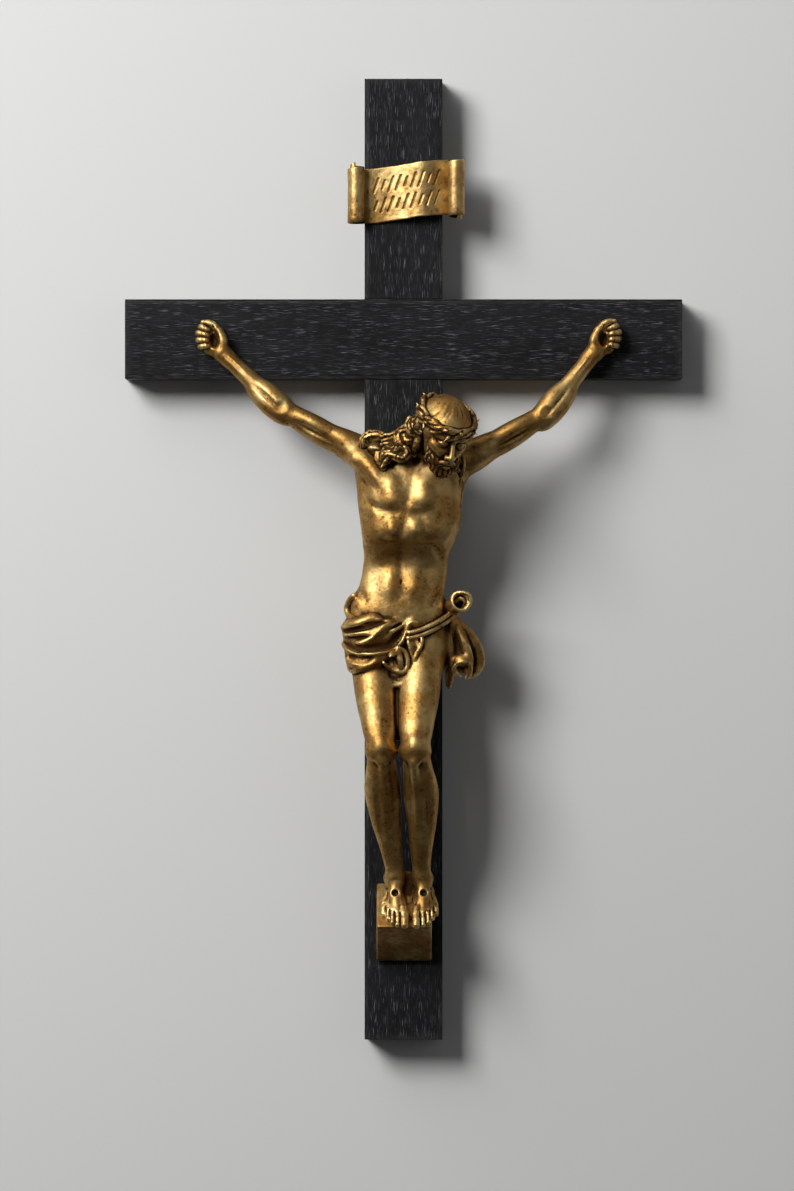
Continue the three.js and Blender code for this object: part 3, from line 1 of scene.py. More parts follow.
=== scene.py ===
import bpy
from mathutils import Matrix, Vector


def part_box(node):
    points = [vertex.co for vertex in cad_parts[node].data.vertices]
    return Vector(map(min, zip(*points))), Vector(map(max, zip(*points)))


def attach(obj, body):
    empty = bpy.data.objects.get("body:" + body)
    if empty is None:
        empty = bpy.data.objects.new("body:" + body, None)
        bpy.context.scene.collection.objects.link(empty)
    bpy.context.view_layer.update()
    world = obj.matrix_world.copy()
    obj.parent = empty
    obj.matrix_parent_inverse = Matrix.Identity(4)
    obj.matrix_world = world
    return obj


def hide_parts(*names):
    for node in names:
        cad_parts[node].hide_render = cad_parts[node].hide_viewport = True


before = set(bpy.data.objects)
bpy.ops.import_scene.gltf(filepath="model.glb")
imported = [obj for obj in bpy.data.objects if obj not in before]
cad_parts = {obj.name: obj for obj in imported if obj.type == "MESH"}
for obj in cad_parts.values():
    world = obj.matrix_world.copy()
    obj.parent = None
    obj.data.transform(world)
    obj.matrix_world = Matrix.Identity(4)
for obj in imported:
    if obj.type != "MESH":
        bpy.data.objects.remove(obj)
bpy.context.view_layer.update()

import math

import bmesh
import bpy
import numpy as np
from mathutils import Matrix, Vector, noise

# A wall crucifix: a cast brass figure, scroll and foot block on a cross of blackened oak.
# Metres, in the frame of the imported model. "Left" and "right" are always the viewer's.
# The figure is modelled in units of one 533rd of its height, as points (x, f, z):
# x to the right and z up from the crossing, f forward from the boards' front face.

# Without a seed, noise_vector draws its offsets from the clock.
noise.seed_set(1)

MM = 0.001
UPRIGHT_LOW, UPRIGHT_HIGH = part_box("upright")
CROSSBAR_LOW, CROSSBAR_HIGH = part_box("crossbar")
CORPUS_LOW, CORPUS_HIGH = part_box("corpus")
SCROLL_LOW, SCROLL_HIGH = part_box("titulus")
BLOCK_LOW, BLOCK_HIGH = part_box("foot_block")
FRONT = UPRIGHT_LOW.y
SEAT = 0.3  # how far a casting sits off the wood, in millimetres
SEAT_GAP = SEAT * MM
JOINT_GAP = 0.3 * MM

CORPUS_HEIGHT = 277 * MM
CORPUS_SHIFT = 0.3 * MM
UNIT = CORPUS_HEIGHT / 533
HEEL_LEVEL = BLOCK_HIGH.z / UNIT
BLOCK_DEPTH, BLOCK_DROP = 27, 21.5  # the foot block's slope, in millimetres

# The clay's grid, in the figure's units
GRID_LOW, GRID_HIGH = (-218, -6, -600), (226, 124, 36)
CELL = 0.85
FAR = 1e3
THINNEST = 0.3
PROBES = 72
CORPUS_TRIANGLES = 190000
# How far the two measures of hollows look (the finer one for the patina, the broader one for painted shade
# where much metal stands round), and how much painted shade the hair's grooves add to the finer one
FINE_REACH, BROAD_REACH = 2.6, 11.0
GROOVE_SHADE = 0.16
# The fine locks: how high they stand, and the lowest level and widest place that they reach
LOCK_HEIGHT, LOCK_LEVEL, LOCK_SIDE = 1.3, -160, 80


# Clay: signed distances on a grid, which soft shapes are added to and cut from.

class Shape:
    """distance is from the surface; share is nought at the middle and one at the surface."""

    def __init__(self, low, high, distance, share=None):
        self.low = np.array(low, float)
        self.high = np.array(high, float)
        self.distance = distance
        self.share = share


def unit(v):
    v = np.array(v, float)
    return v / np.linalg.norm(v)


def lerp(a, b, t):
    return np.array(a, float) + (np.array(b, float) - np.array(a, float)) * t


def ball(centre, radii, axes=None):
    """An ellipsoid whose radii lie along three unit axes, the grid's own unless others are given."""
    centre = np.array(centre, float)
    radii = np.array(np.broadcast_to(radii, 3), float)
    axes = np.eye(3) if axes is None else np.array(axes, float)
    reach = np.sqrt(((axes * radii[:, None]) ** 2).sum(0))

    def distance(x, f, z):
        x, f, z = x - centre[0], f - centre[1], z - centre[2]
        parts = [(x * a[0] + f * a[1] + z * a[2]) / r for a, r in zip(axes, radii)]
        k = np.sqrt(parts[0] ** 2 + parts[1] ** 2 + parts[2] ** 2) + 1e-4
        slope = np.sqrt(sum((p / r) ** 2 for p, r in zip(parts, radii)))
        return k * (k - 1) / np.maximum(slope, 1e-4 / radii.max())

    def share(x, f, z):
        x, f, z = x - centre[0], f - centre[1], z - centre[2]
        return np.sqrt(sum(((x * a[0] + f * a[1] + z * a[2]) / r) ** 2 for a, r in zip(axes, radii)))

    return Shape(centre - reach, centre + reach, distance, share)


def rod(a, b, ra, rb=None, strength=(1, 1)):
    """A rod with round ends from a to b, whose radius runs from ra to rb, and its strength in press."""
    rb = ra if rb is None else rb
    a, b = np.array(a, float), np.array(b, float)
    ab = b - a
    length2 = max(ab @ ab, 1e-9)

    def measure(x, f, z):
        x, f, z = x - a[0], f - a[1], z - a[2]
        t = np.clip((x * ab[0] + f * ab[1] + z * ab[2]) / length2, 0, 1)
        away = (x - ab[0] * t) ** 2 + (f - ab[1] * t) ** 2 + (z - ab[2] * t) ** 2
        return np.sqrt(away), ra + (rb - ra) * t, t

    def distance(x, f, z):
        away, radius, _ = measure(x, f, z)
        return away - radius

    def share(x, f, z):
        away, radius, t = measure(x, f, z)
        return 1 - (1 - away / radius) * (strength[0] + (strength[1] - strength[0]) * t)

    return Shape(np.minimum(a - ra, b - rb), np.maximum(a + ra, b + rb), distance, share)


def densify(rows, steps):
    """Rows of numbers, made smooth and denser by a number of steps between each two."""
    rows = np.array(rows, float)
    padded = np.vstack([rows[:1], rows, rows[-1:]])
    dense = []
    for a, b, c, d in zip(padded, padded[1:], padded[2:], padded[3:]):
        for s in range(steps):
            t = s / steps
            bend = 2 * a - 5 * b + 4 * c - d + t * (3 * (b - c) + d - a)
            dense.append(b + 0.5 * t * (c - a + t * bend))
    dense.append(rows[-1])
    return np.array(dense)


def cord(rows, steps=5, at=None):
    """A smooth cord through rows of (x, f, z, radius), placed by the function at where it is given."""
    if at:
        rows = [(*at(*row[:3]), row[3]) for row in rows]
    dense = densify(rows, steps)
    dense[:, 3] = np.maximum(dense[:, 3], THINNEST)
    return [rod(p[:3], q[:3], p[3], q[3]) for p, q in zip(dense, dense[1:])]


def stack(rows, power=2.0):
    """A body with oval level sections, squarer where power is more: (z, left, right, back, front)."""
    dense = densify(rows, 8)[::-1]
    levels = dense[:, 0]

    def distance(x, f, z):
        inside = np.clip(z, levels[0], levels[-1])
        left, right, back, front = (
            np.interp(inside, levels, dense[:, k]).astype(np.float32) for k in (1, 2, 3, 4)
        )
        wide, deep = (right - left) / 2, (front - back) / 2
        u = (x - (left + right) / 2) / wide
        v = (f - (back + front) / 2) / deep
        k = (np.abs(u) ** power + np.abs(v) ** power) ** (1 / power) + 1e-4
        flat = k * (k - 1) / np.maximum(np.sqrt((u / wide) ** 2 + (v / deep) ** 2), 1e-5)
        past = np.abs(z - inside)
        return np.where(past > 0, np.sqrt(np.maximum(flat, 0) ** 2 + past ** 2), flat)

    low = (dense[:, 1].min(), dense[:, 3].min(), levels[0])
    high = (dense[:, 2].max(), dense[:, 4].max(), levels[-1])
    return Shape(low, high, distance)


class Clay:
    def __init__(self, low, high, cell):
        self.low = np.array(low, float)
        self.cell = cell
        count = np.ceil((np.array(high) - self.low) / cell).astype(int) + 1
        self.field = np.full(count, FAR, np.float32)
        self.bare = None  # the field before hair, beard and wreath

    def window(self, low, high):
        first = np.maximum(np.floor((low - self.low) / self.cell).astype(int), 0)
        last = np.ceil((high - self.low) / self.cell).astype(int) + 1
        return first, np.maximum(np.minimum(last, self.field.shape), first)

    def points(self, first, last):
        x, f, z = (
            (self.low[i] + np.arange(first[i], last[i]) * self.cell).astype(np.float32)
            for i in range(3)
        )
        return x[:, None, None], f[None, :, None], z[None, None, :]

    def measure(self, shape, kind, blank, margin):
        """The clay round a shape, and there the least of its parts' distances or shares."""
        parts = shape if isinstance(shape, list) else [shape]
        low = np.min([part.low for part in parts], 0) - margin
        high = np.max([part.high for part in parts], 0) + margin
        first, last = self.window(low, high)
        near = np.full(last - first, blank, np.float32)
        for part in parts:
            a, b = self.window(part.low - margin, part.high + margin)
            region = near[tuple(slice(p, q) for p, q in zip(a - first, b - first))]
            np.minimum(region, getattr(part, kind)(*self.points(a, b)), out=region)
        return self.field[tuple(slice(p, q) for p, q in zip(first, last))], near

    def blend(self, shape, soft, sign):
        """Joins a shape on, or takes it off where sign is -1, softly over the distance soft."""
        whole, near = self.measure(shape, "distance", FAR, soft + 2 * self.cell)
        old = whole * sign
        overlap = np.maximum(soft - np.abs(old - near), 0)
        whole[...] = sign * (np.minimum(old, near) - overlap ** 2 / (4 * soft))

    def press(self, shape, height, sharp=False):
        """Raises the surface inside a shape by height, most in its middle; below nought it sinks.

        A sharp swelling has a crest, any other is round on top.
        """
        whole, near = self.measure(shape, "share", 1, 0)
        whole -= height * ((1 - near) ** 1.25 if sharp else (1 - near ** 2) ** 2)

    def add(self, shape, soft=3):
        self.blend(shape, soft, 1)

    def cut(self, shape, soft):
        self.blend(shape, soft, -1)

    def fullness(self, places, radius):
        """The share of a ball round each place that lies inside: a half on flats, more in hollows."""
        step = np.arange(PROBES) + 0.5
        tilt = np.arccos(1 - 2 * step / PROBES)
        turn = math.pi * (1 + math.sqrt(5)) * step
        reach = radius * ((step * 0.618034) % 1) ** (1 / 3)
        ways = np.stack(
            [np.cos(turn) * np.sin(tilt), np.sin(turn) * np.sin(tilt), np.cos(tilt)], 1
        ) * reach[:, None]
        share = np.zeros(len(places), np.float32)
        most = np.array(self.field.shape) - 1
        for way in ways:
            index = np.rint((places + way - self.low) / self.cell).astype(int)
            i, j, k = np.clip(index, 0, most).T
            share += np.clip(0.5 - self.field[i, j, k] / self.cell, 0, 1)
        return share / PROBES


# The figure's parts

TORSO = [
    (-96, -34, 50, 20, 48),
    (-110, -44, 62, 13, 56),
    (-129, -48, 66, 8, 62),
    (-150, -47, 60, 6, 68),
    (-166, -46, 58, 6, 71),
    (-181, -44, 57, 8, 71),
    (-196, -42, 53, 10, 70.5),
    (-206, -41, 49, 12, 66),
    (-216, -40, 45, 14, 58),
    (-228, -41, 43, 15, 53.5),
    (-240, -43, 42, 14, 54),
    (-256, -48, 40, 11, 57),
    (-275, -54, 43, 7, 58),
    (-300, -57, 47, 4, 54),
    (-320, -56, 46, 5, 46),
    (-334, -48, 40, 9, 40),
]


def torso(clay):
    clay.add(stack(TORSO, 2.3))
    clay.add(rod((-40, 34, -117), (60, 34, -121), 15), 8)  # across the shoulders
    clay.add(rod((6, 42, -120), (30, 60, -104), 16, 15), 8)  # neck
    clay.add(rod((-44, 30, -114), (0, 38, -108), 11, 14), 5)  # trapezius
    clay.add(rod((66, 30, -117), (24, 38, -108), 11, 14), 5)
    for side, x in ((-1, -14), (1, 20)):
        clay.add(rod((x, 56, -146), (x + side * 31, 47, -120), 11, 11), 6)
        flank = x + (-26 if side < 0 else 31)
        clay.add(rod((flank, 24, -134), (flank - side * 5, 26, -190), 9, 5), 6)
        clay.add(ball((x * 0.6 - 4, 43, -246), (14, 14, 20)), 5)
    chest(clay)
    belly(clay)
    flanks(clay)
    neck(clay)


def line(points, radius, last=0.0):
    """A path for press through points of (x, f, z), which fades out at its start, and at its end too
    unless its last strength says otherwise."""
    strengths = [0.0] + [1.0] * (len(points) - 2) + [last]
    dense = densify([(*point, strength) for point, strength in zip(points, strengths)], 5)
    return [rod(p[:3], q[:3], radius, strength=(p[3], q[3])) for p, q in zip(dense, dense[1:])]


def chest(clay):
    """The broad flat chest: both muscles, the line between them and the edge under them."""
    clay.press(ball((-15, 68, -154), (25, 22, 24)), 1.6)
    clay.press(ball((21, 68, -155), (24, 22, 24)), 1.8)
    clay.press(ball((-12, 72, -158), (16, 20, 16)), 3)
    clay.press(ball((20, 72, -159), (15, 20, 16)), 3.6)
    middle = [(10, 66, -122), (8, 70, -134), (5, 74, -154), (2, 76, -170), (-1, 76, -186), (-3, 70, -204)]
    clay.press(line(middle, 7), -3.2)
    clay.press(line(middle, 2.8), -1.6)
    under = [(-38, 56, -162), (-26, 68, -171), (-14, 74, -174.5), (0, 76, -174), (11, 74, -176.5),
             (21, 72, -178)]
    clay.press(line(under, 6.5), -2.8)
    clay.press(line(under, 2.6), -1.2)
    clay.press(line([(-44, 52, -110), (-37, 57, -123), (-30, 63, -137), (-24, 69, -150)], 9), 2.4)  # tendon
    clay.press(line([(-42, 50, -134), (-38, 54, -152), (-35, 56, -172), (-33, 52, -196)], 10), -1.6)
    for start, stop in (((8, 64, -117), (-34, 52, -108)), ((16, 65, -118), (54, 52, -112))):
        clay.press(rod(start, stop, 5), 1.2)  # collarbones
        lower = (0, 0, -7)
        clay.press(rod(np.add(start, lower), np.add(stop, lower), 6), -1.2)
    clay.press(ball((12, 64, -123), (7, 9, 7)), -3)  # pit of the neck


def belly(clay):
    """The belly's flat muscles in pairs, the arch of the ribs, the navel and the groins."""
    for side, x in ((-1, -13), (1, 11)):
        clay.press(ball((x, 74, -191), (12, 16, 16)), 3.8)
        clay.press(ball((x + side * 14, 66, -188), (11, 14, 16)), 1)
        clay.press(ball((x + side * 2, 56, -250), (15, 16, 17)), 1.6)
    arch = [(-42, 44, -228), (-35, 54, -216), (-24, 62, -208), (-10, 66, -206), (4, 66, -208),
            (16, 65, -206), (28, 60, -206), (36, 50, -216), (42, 40, -228)]
    clay.press(line(arch, 8), -2)
    clay.press(line(arch[1:-1], 3.4), -0.4)
    clay.press(ball((-3, 60, -219), (24, 14, 14)), -2.2)
    clay.press(line([(-4, 62, -206), (-4, 55, -222), (-4, 56, -240)], 5), -1.4)
    clay.press(line([(-4, 57, -212), (-4, 55, -228), (-4, 57, -238)], 2.2), -0.7)
    clay.press(ball((-3, 58, -243), (2.4, 5, 4)), -2.4)  # navel
    clay.press(line([(-48, 30, -240), (-42, 44, -256), (-32, 52, -270)], 8), -1.6)
    clay.press(line([(40, 34, -240), (32, 47, -258), (20, 54, -273)], 8), -1.6)


def flanks(clay):
    """Ribs and the saw-tooth muscle: clear on the right flank, faint on the left."""
    for rib in range(5):
        z = -166 - rib * 10
        left = [(-46 + rib * 0.4, 34, z + 6), (-40 + rib * 0.6, 50 - rib, z - 3), (-31, 60 - rib, z - 9)]
        clay.press(line(left, 6), 0.5)
        right = [(56 - rib * 1.8, 32, z + 9), (51 - rib * 1.6, 46 - rib, z), (42 - rib, 58 - rib, z - 7)]
        clay.press(line(right, 5), 1.5)
    for tooth in range(4):
        z = -160 - tooth * 11
        clay.press(rod((53 - tooth * 2, 40, z), (46 - tooth, 54 - tooth, z - 9), 5), 1)
    clay.press(line([(60, 38, -136), (57, 44, -152), (54, 44, -170)], 6), -2)


def neck(clay):
    clay.press(line([(4, 60, -112), (13, 64, -106), (22, 68, -100)], 5), 1.6)
    clay.press(line([(12, 68, -121), (20, 72, -113), (29, 72, -105)], 5), 1.8)


def muscle(start, end, at, offset, radii):
    """An ellipsoid muscle at a share of the way from one joint to the next."""
    start, end = np.array(start, float), np.array(end, float)
    axis = unit(end - start)
    side = unit(np.cross((0, 1, 0), axis))
    front = np.cross(axis, side)
    centre = lerp(start, end, at) + side * offset[0] + front * offset[1]
    return ball(centre, radii, (axis, side, front))


ARMS = {
    "left": {"side": -1, "shoulder": (-46, 35, -113), "elbow": (-122, 26, -71), "wrist": (-181, 12, -15)},
    "right": {"side": 1, "shoulder": (66, 35, -119), "elbow": (141, 27, -76), "wrist": (190, 12, -14)},
}


def arm(clay, side, shoulder, elbow, wrist):
    # The muscles' sideways axis points up on one arm and down on the other.
    up = -side
    wrist = np.array(wrist, float)
    clay.add(rod(shoulder, elbow, 13, 10.5), 6)
    clay.add(muscle(shoulder, elbow, 0.06, (0, 0), (24, 15.5, 16)), 5)  # shoulder muscle
    clay.add(muscle(shoulder, elbow, 0.2, (up * 4, 5), (20, 9, 10)), 4)
    clay.add(muscle(shoulder, elbow, 0.55, (up * 3, 4.5), (28, 8.5, 10)), 3)  # biceps
    clay.add(muscle(shoulder, elbow, 0.45, (up * -5, -2), (34, 9, 10)), 4)  # triceps
    clay.press(muscle(shoulder, elbow, 0.56, (up * -4.5, 10), (30, 4, 7)), -1.6)
    clay.add(rod(elbow, wrist, 10.5, 7.4), 4)
    clay.add(muscle(elbow, wrist, 0.14, (up * 3, 1), (26, 10.5, 11)), 4)  # forearm
    clay.add(muscle(elbow, wrist, 0.16, (up * -5.5, 0), (30, 10, 10.5)), 3)
    clay.press(muscle(elbow, wrist, 0.24, (up * -1.5, 11), (30, 4, 7)), -1.6)
    clay.press(muscle(elbow, wrist, 0.0, (up * 1, 11), (8, 8, 7)), -2)  # hollow of the elbow
    for across in (-1.8, 1.8):
        clay.press(muscle(elbow, wrist, 0.78, (across, 7.5), (20, 2.4, 4)), 0.9)  # sinews
    clay.add(rod(wrist + (side * -6, 0, -6), wrist, 8, 8.4), 4)
    clay.press(muscle(elbow, wrist, 0.98, (0, 8.5), (2.6, 9, 4)), -0.4)  # crease of the wrist


def hand(clay, side, wrist):
    """A half-closed hand, its back to the wood: points are (out, up, forward) from the wrist."""
    wrist = np.array(wrist, float)

    def at(out, up, f):
        return wrist + (side * out, f - wrist[1], up)

    clay.add(rod(at(2, 2, 11), at(10, 14, 8), 8, 8), 5)
    clay.add(ball(at(11, 10, 8), (11, 8, 12)), 4)  # palm
    clay.add(cord([(0, 5, 15, 5), (0, 13, 16, 5), (4, 22, 15, 4.2)], at=at), 3)
    clay.add(cord([(4, 22, 15, 4), (9, 28, 15, 3.5), (14, 30.5, 14.5, 3.3),
                   (20, 31, 14, 2.6)], at=at), 1.5)
    clay.add(ball(at(19.5, 31.4, 16.4), (2.4, 0.9, 1.7)), 0.5)  # thumb nail
    clay.cut(cord([(9, 24.4, 18, 0.8), (10.5, 31.5, 16, 0.7)], at=at), 1)
    clay.add(rod(at(16, 12, 6), at(17, 25, 6), 6, 5), 4)
    for finger, up in enumerate((26.5, 20.2, 13.6, 7)):
        reach = (21, 23.6, 23.2, 21.8)[finger]
        droop = (3, 2.2, 0.6, -0.8)[finger]
        radius = 3.5 if finger < 3 else 3.1
        rows = [(15, up, 7, radius + 0.2), (reach, up, 8, radius + 0.1),
                (reach + 0.3, up, 14, radius - 0.1), (18, up - droop * 0.6, 17, 2.7),
                (14.8, up - droop, 16, 2.3)]
        clay.add(cord(rows, at=at), 0.7)
        clay.cut(rod(at(reach - 3, up - 3, 19.5), at(reach - 3, up + 3, 19.5), 0.7), 1.2)
        clay.cut(rod(at(reach + 4, up - 3, 10.5), at(reach + 4, up + 3, 10.5), 0.6), 1.2)
    clay.cut(ball(at(9, 14, 19), (5, 9, 9)), 2.2)  # hollow of the palm


LEGS = {
    "left": {"inner": 1, "hip": (-32, 33, -312), "knee": (-23, 74, -408), "ankle": (-10, 27, -536)},
    "right": {"inner": -1, "hip": (17, 33, -312), "knee": (11, 79, -408), "ankle": (18.3, 28, -536)},
}
# Sections of the lower leg: (share of the way down, outwards, inwards, back, front)
CALF = [
    (-0.02, 13, 12, 11, 10),
    (0.1, 15, 13, 13, 10),
    (0.3, 20.5, 14.5, 18, 11),
    (0.42, 20, 14, 17, 10.5),
    (0.6, 16.5, 11.8, 13, 9.5),
    (0.78, 11.5, 11, 10, 8.5),
    (0.95, 8, 9.4, 8.6, 7.4),
    (1.06, 7, 8.4, 7, 6),
]


def calf(inner, knee, ankle):
    rows = []
    for share, outwards, inwards, back, front in CALF:
        x, f, z = lerp(knee, ankle, share)
        left, right = (outwards, inwards) if inner > 0 else (inwards, outwards)
        rows.append((z, x - left, x + right, f - back, f + front))
    return stack(rows)


def leg(clay, inner, hip, knee, ankle):
    knee, ankle = np.array(knee, float), np.array(ankle, float)
    clay.add(rod(hip, knee, 24, 14), 8)
    clay.add(muscle(hip, knee, 0.42, (inner * 1, 4), (48, 18, 15)), 6)  # thigh, front
    clay.add(muscle(hip, knee, 0.76, (inner * 7.5, 4), (19, 8, 9)), 4)
    clay.add(muscle(hip, knee, 0.7, (inner * -7.5, 3.5), (24, 8, 9)), 4)
    clay.add(muscle(hip, knee, 0.55, (inner * -8, 2), (38, 10, 10)), 5)
    clay.add(muscle(hip, knee, 0.4, (0, -6), (48, 18, 15)), 6)  # thigh, back
    clay.add(muscle(hip, knee, 0.74, (inner * 4, -5), (30, 9, 9)), 5)
    clay.add(ball(knee + (0, 8.8, 4), (7.6, 6, 9)), 4.5)  # kneecap
    for across in (-1, 1):
        clay.press(line([knee + (across * 10, 12, 2), knee + (across * 8, 14, 11)], 5), -1.8)
    clay.press(line([knee + (-5, 16, 13), knee + (0, 17, 14), knee + (5, 16, 13)], 4), -1)
    clay.add(rod(knee + (-5, 0, -3), knee + (5, 0, -3), 10.5), 4)
    for across in (-6, 6):
        clay.add(ball(knee + (across, 6, -6), (4.4, 4, 4.4)), 2.5)
    clay.add(ball(knee + (0, 8.4, -11), (4.8, 4, 6)), 4.5)  # where the knee's cord ends
    clay.add(calf(inner, knee, ankle), 2)
    shin = [(*(knee + (inner * 2, 6, -14)), 4.6), (*lerp(knee + (inner * 3, 7, 0), ankle, 0.5), 4),
            (*(ankle + (inner * 1, 4, 16)), 3.6)]
    clay.add(cord(shin), 4)
    clay.press(muscle(knee, ankle, 0.42, (inner * -8, 9), (42, 5, 7)), -1.6)
    clay.press(muscle(knee, ankle, 0.45, (inner * 8, 7.5), (40, 5, 7)), -1.6)
    clay.add(ball(ankle + (inner * 5, -1, 3), (3.6, 5, 4.6)), 3)  # ankle bones
    clay.add(ball(ankle + (inner * -6, -3, -2), (3.6, 5, 4.8)), 3)
    clay.add(rod(ankle + (0, 1, 22), ankle + (0, -8, -6), 4, 4.5), 5)  # heel cord


# A foot lies along the foot block's slope: points are (aside, along, above) from the slope's top.
SLOPE = unit((0, BLOCK_DEPTH, -BLOCK_DROP))
SLOPE_NORMAL = np.array((0, -SLOPE[2], SLOPE[1]))
TOES = [(8.3, 67.6, 4.3), (1.6, 66, 3.5), (-3.4, 62.2, 3.4), (-7.8, 56.4, 3.2), (-11.6, 50, 3)]


def foot(clay, inner, ankle):
    top = np.array((ankle[0], 0, HEEL_LEVEL), float)

    def at(aside, along, above):
        # Both feet turn a little to the viewer's right.
        level = (inner * aside + 0.03 * along, 0, 0)
        return top + level + SLOPE * along + SLOPE_NORMAL * above

    clay.add(rod(at(0, 9, 8.5), ankle, 7.5, 7.4), 6)  # heel
    clay.add(rod(at(0, 16, 17), at(1, 53, 5.5), 7.6, 5), 7)  # instep
    clay.add(rod(at(4, 22, 7), at(8, 54, 4.4), 5, 4.6), 4)
    clay.add(rod(at(-6, 20, 6), at(-6.6, 47, 4.4), 5.4, 4.4), 4)
    clay.add(rod(at(-8, 30, 4), at(-9.4, 43, 3.4), 4.6, 3.6), 3)
    clay.add(rod(at(8, 55, 4.6), at(-3, 51, 5.4), 5, 4.6), 3)  # ball of the foot
    clay.add(rod(at(-3, 51, 5.4), at(-10, 41, 4.4), 4.6, 4), 3)
    for aside, tip, radius in TOES:
        rise = radius + 2.6
        rows = [(aside * 0.88, tip - 18, rise + 1.4, radius * 0.9),
                (aside * 0.97, tip - 11, rise + 0.4, radius), (aside, tip - 7, rise - 0.8, radius * 0.94),
                (aside, tip - 4, rise - 1, radius), (aside, tip, radius - 0.4, radius * 0.96)]
        clay.add(cord(rows, at=at), 1)
        crease = [at(aside - 3, tip - 8.6, rise + radius - 1), at(aside, tip - 8.6, rise + radius + 0.4),
                  at(aside + 3, tip - 8.6, rise + radius - 1)]
        clay.press(line(crease, 1.8), -0.9)
        sinew = [at(aside * 0.3, 34, 15), at(aside * 0.66, tip - 24, 11.6), at(aside * 0.9, tip - 13, 9)]
        clay.press(line(sinew, 2.4), 1.5)
        nail = at(aside, tip + 0.4, radius * 1.5)
        clay.press(ball(nail, (radius * 0.8, 2, 1.6)), -0.8)
    for (a, tip, ra), (b, _, rb) in zip(TOES, TOES[1:]):
        between = (a - ra + b + rb) / 2
        gap = [at(between * 0.9, tip - 15, 9.6), at(between, tip - 9, 8), at(between, tip - 1, 5)]
        clay.press(line([*gap, at(between, tip + 2, 1)], 2.2), -2)
    clay.cut(rod(at(0, 33.6, 15.6), at(0, 44, 28), 3.4, 4.4), 1.4)  # nail hole
    crease = [at(-6, 22.5, 22), at(0, 23.5, 24.4), at(6, 22.5, 22)]
    clay.press(line(crease, 3.4), -0.5)


# The head, modelled upright and facing forward from its own middle, then turned into place.
HEAD = {"middle": (39, 78, -96), "nod": 27, "turn": 26, "lean": 6}


def head_frame():
    turning = (
        Matrix.Rotation(math.radians(HEAD["lean"]), 3, "Y")
        @ Matrix.Rotation(math.radians(-HEAD["turn"]), 3, "Z")
        @ Matrix.Rotation(math.radians(-HEAD["nod"]), 3, "X")
    )
    axes = np.array(turning).T
    middle = np.array(HEAD["middle"], float)

    def at(x, f, z):
        return middle + axes[0] * x + axes[1] * f + axes[2] * z

    return axes, at


def head(clay):
    axes, at = head_frame()

    def oval(x, f, z, radii):
        return ball(at(x, f, z), radii, axes)

    clay.add(oval(0, -5, 9, (25.5, 30.5, 27)), 6)  # skull
    clay.add(oval(0, 12, 13, (19, 14, 14)), 5)  # forehead
    clay.add(oval(0, 8, -9, (19.5, 18, 22)), 5)  # face
    clay.add(oval(0, 16, -27, (10, 10, 9)), 4)  # chin
    for side in (-1, 1):
        clay.add(cord([(side * 3, 25, 5.5, 2.6), (side * 9, 24.5, 7.6, 2.6),
                       (side * 15, 19, 5.5, 2.2)], at=at), 3)  # brow
        clay.cut(oval(side * 8.6, 30.4, 0.2, (6.6, 5, 4.6)), 4)  # eye socket
        clay.add(oval(side * 8.8, 21.6, -0.2, (5.4, 4.8, 4.4)), 1.5)  # closed eye
        lash = [(side * 4.4, 24.8, -1.4, 0.5), (side * 8.8, 26.2, -3, 0.7),
                (side * 13.4, 23, -1.6, 0.5)]
        clay.cut(cord(lash, at=at), 0.5)
        lid = [(side * 4.4, 24.4, 1.2, 0.6), (side * 8.8, 25.2, 3.6, 0.7),
               (side * 13, 22.4, 1.6, 0.6)]
        clay.cut(cord(lid, at=at), 0.8)
        clay.add(rod(at(side * 15.5, 16, -5), at(side * 9.5, 21.5, -9.5), 4.2, 4), 4)  # cheekbone
        clay.add(oval(side * 3.7, 28.6, -13, (2.5, 3.2, 2.4)), 1.2)  # nostril
        clay.cut(oval(side * 2, 31.2, -15.6, (1.1, 1.4, 1.3)), 0.6)
        furrow = [(side * 6, 27, -12.5, 0.6), (side * 9, 24.6, -18, 0.9)]
        clay.cut(cord(furrow, at=at), 2)
    clay.add(cord([(0, 24.5, 6.5, 2.2), (0, 27.5, -2, 2), (0, 31.6, -11, 2.8)], at=at), 2)
    clay.add(oval(0, 32, -12.4, (3.1, 2.9, 2.7)), 1.5)
    upper = [(-6.4, 25.4, -21.6, 0.9), (-2, 28, -20.2, 1.5), (0, 27.9, -20.6, 1.3),
             (2, 28, -20.2, 1.5), (6.4, 25.4, -21.6, 0.9)]
    clay.add(cord(upper, at=at), 1)
    clay.add(cord([(-5, 25.4, -23.4, 1), (0, 27.4, -24.6, 1.9), (5, 25.4, -23.4, 1)], at=at), 1)
    clay.cut(cord([(-6, 27.6, -22, 0.5), (0, 30, -22.4, 0.7), (6, 27.6, -22, 0.5)], at=at), 0.5)
    clay.bare = clay.field.copy()
    beard(clay, at)
    scalp(clay, at)
    crown(clay, at)


def curl(clay, root, tip, out, radius, wave, turns, phase):
    """A wavy lock from root to tip, bowed outwards, thickest below its root."""
    root, tip, out = np.array(root, float), np.array(tip, float), np.array(out, float)
    along = unit(tip - root)
    side = unit(np.cross(along, out))
    rows = []
    steps = 7
    for i in range(steps + 1):
        t = i / steps
        swing = wave * (0.35 + 0.65 * t) * math.sin(2 * math.pi * turns * t + phase)
        bow = math.sin(math.pi * min(1, t * 1.15))
        place = lerp(root, tip, t) + side * swing + out * bow
        rows.append((*place, radius * (0.75 + 0.5 * math.sin(math.pi * (0.15 + 0.75 * t)) - 0.45 * t)))
    clay.add(cord(rows, 2), 0.9)


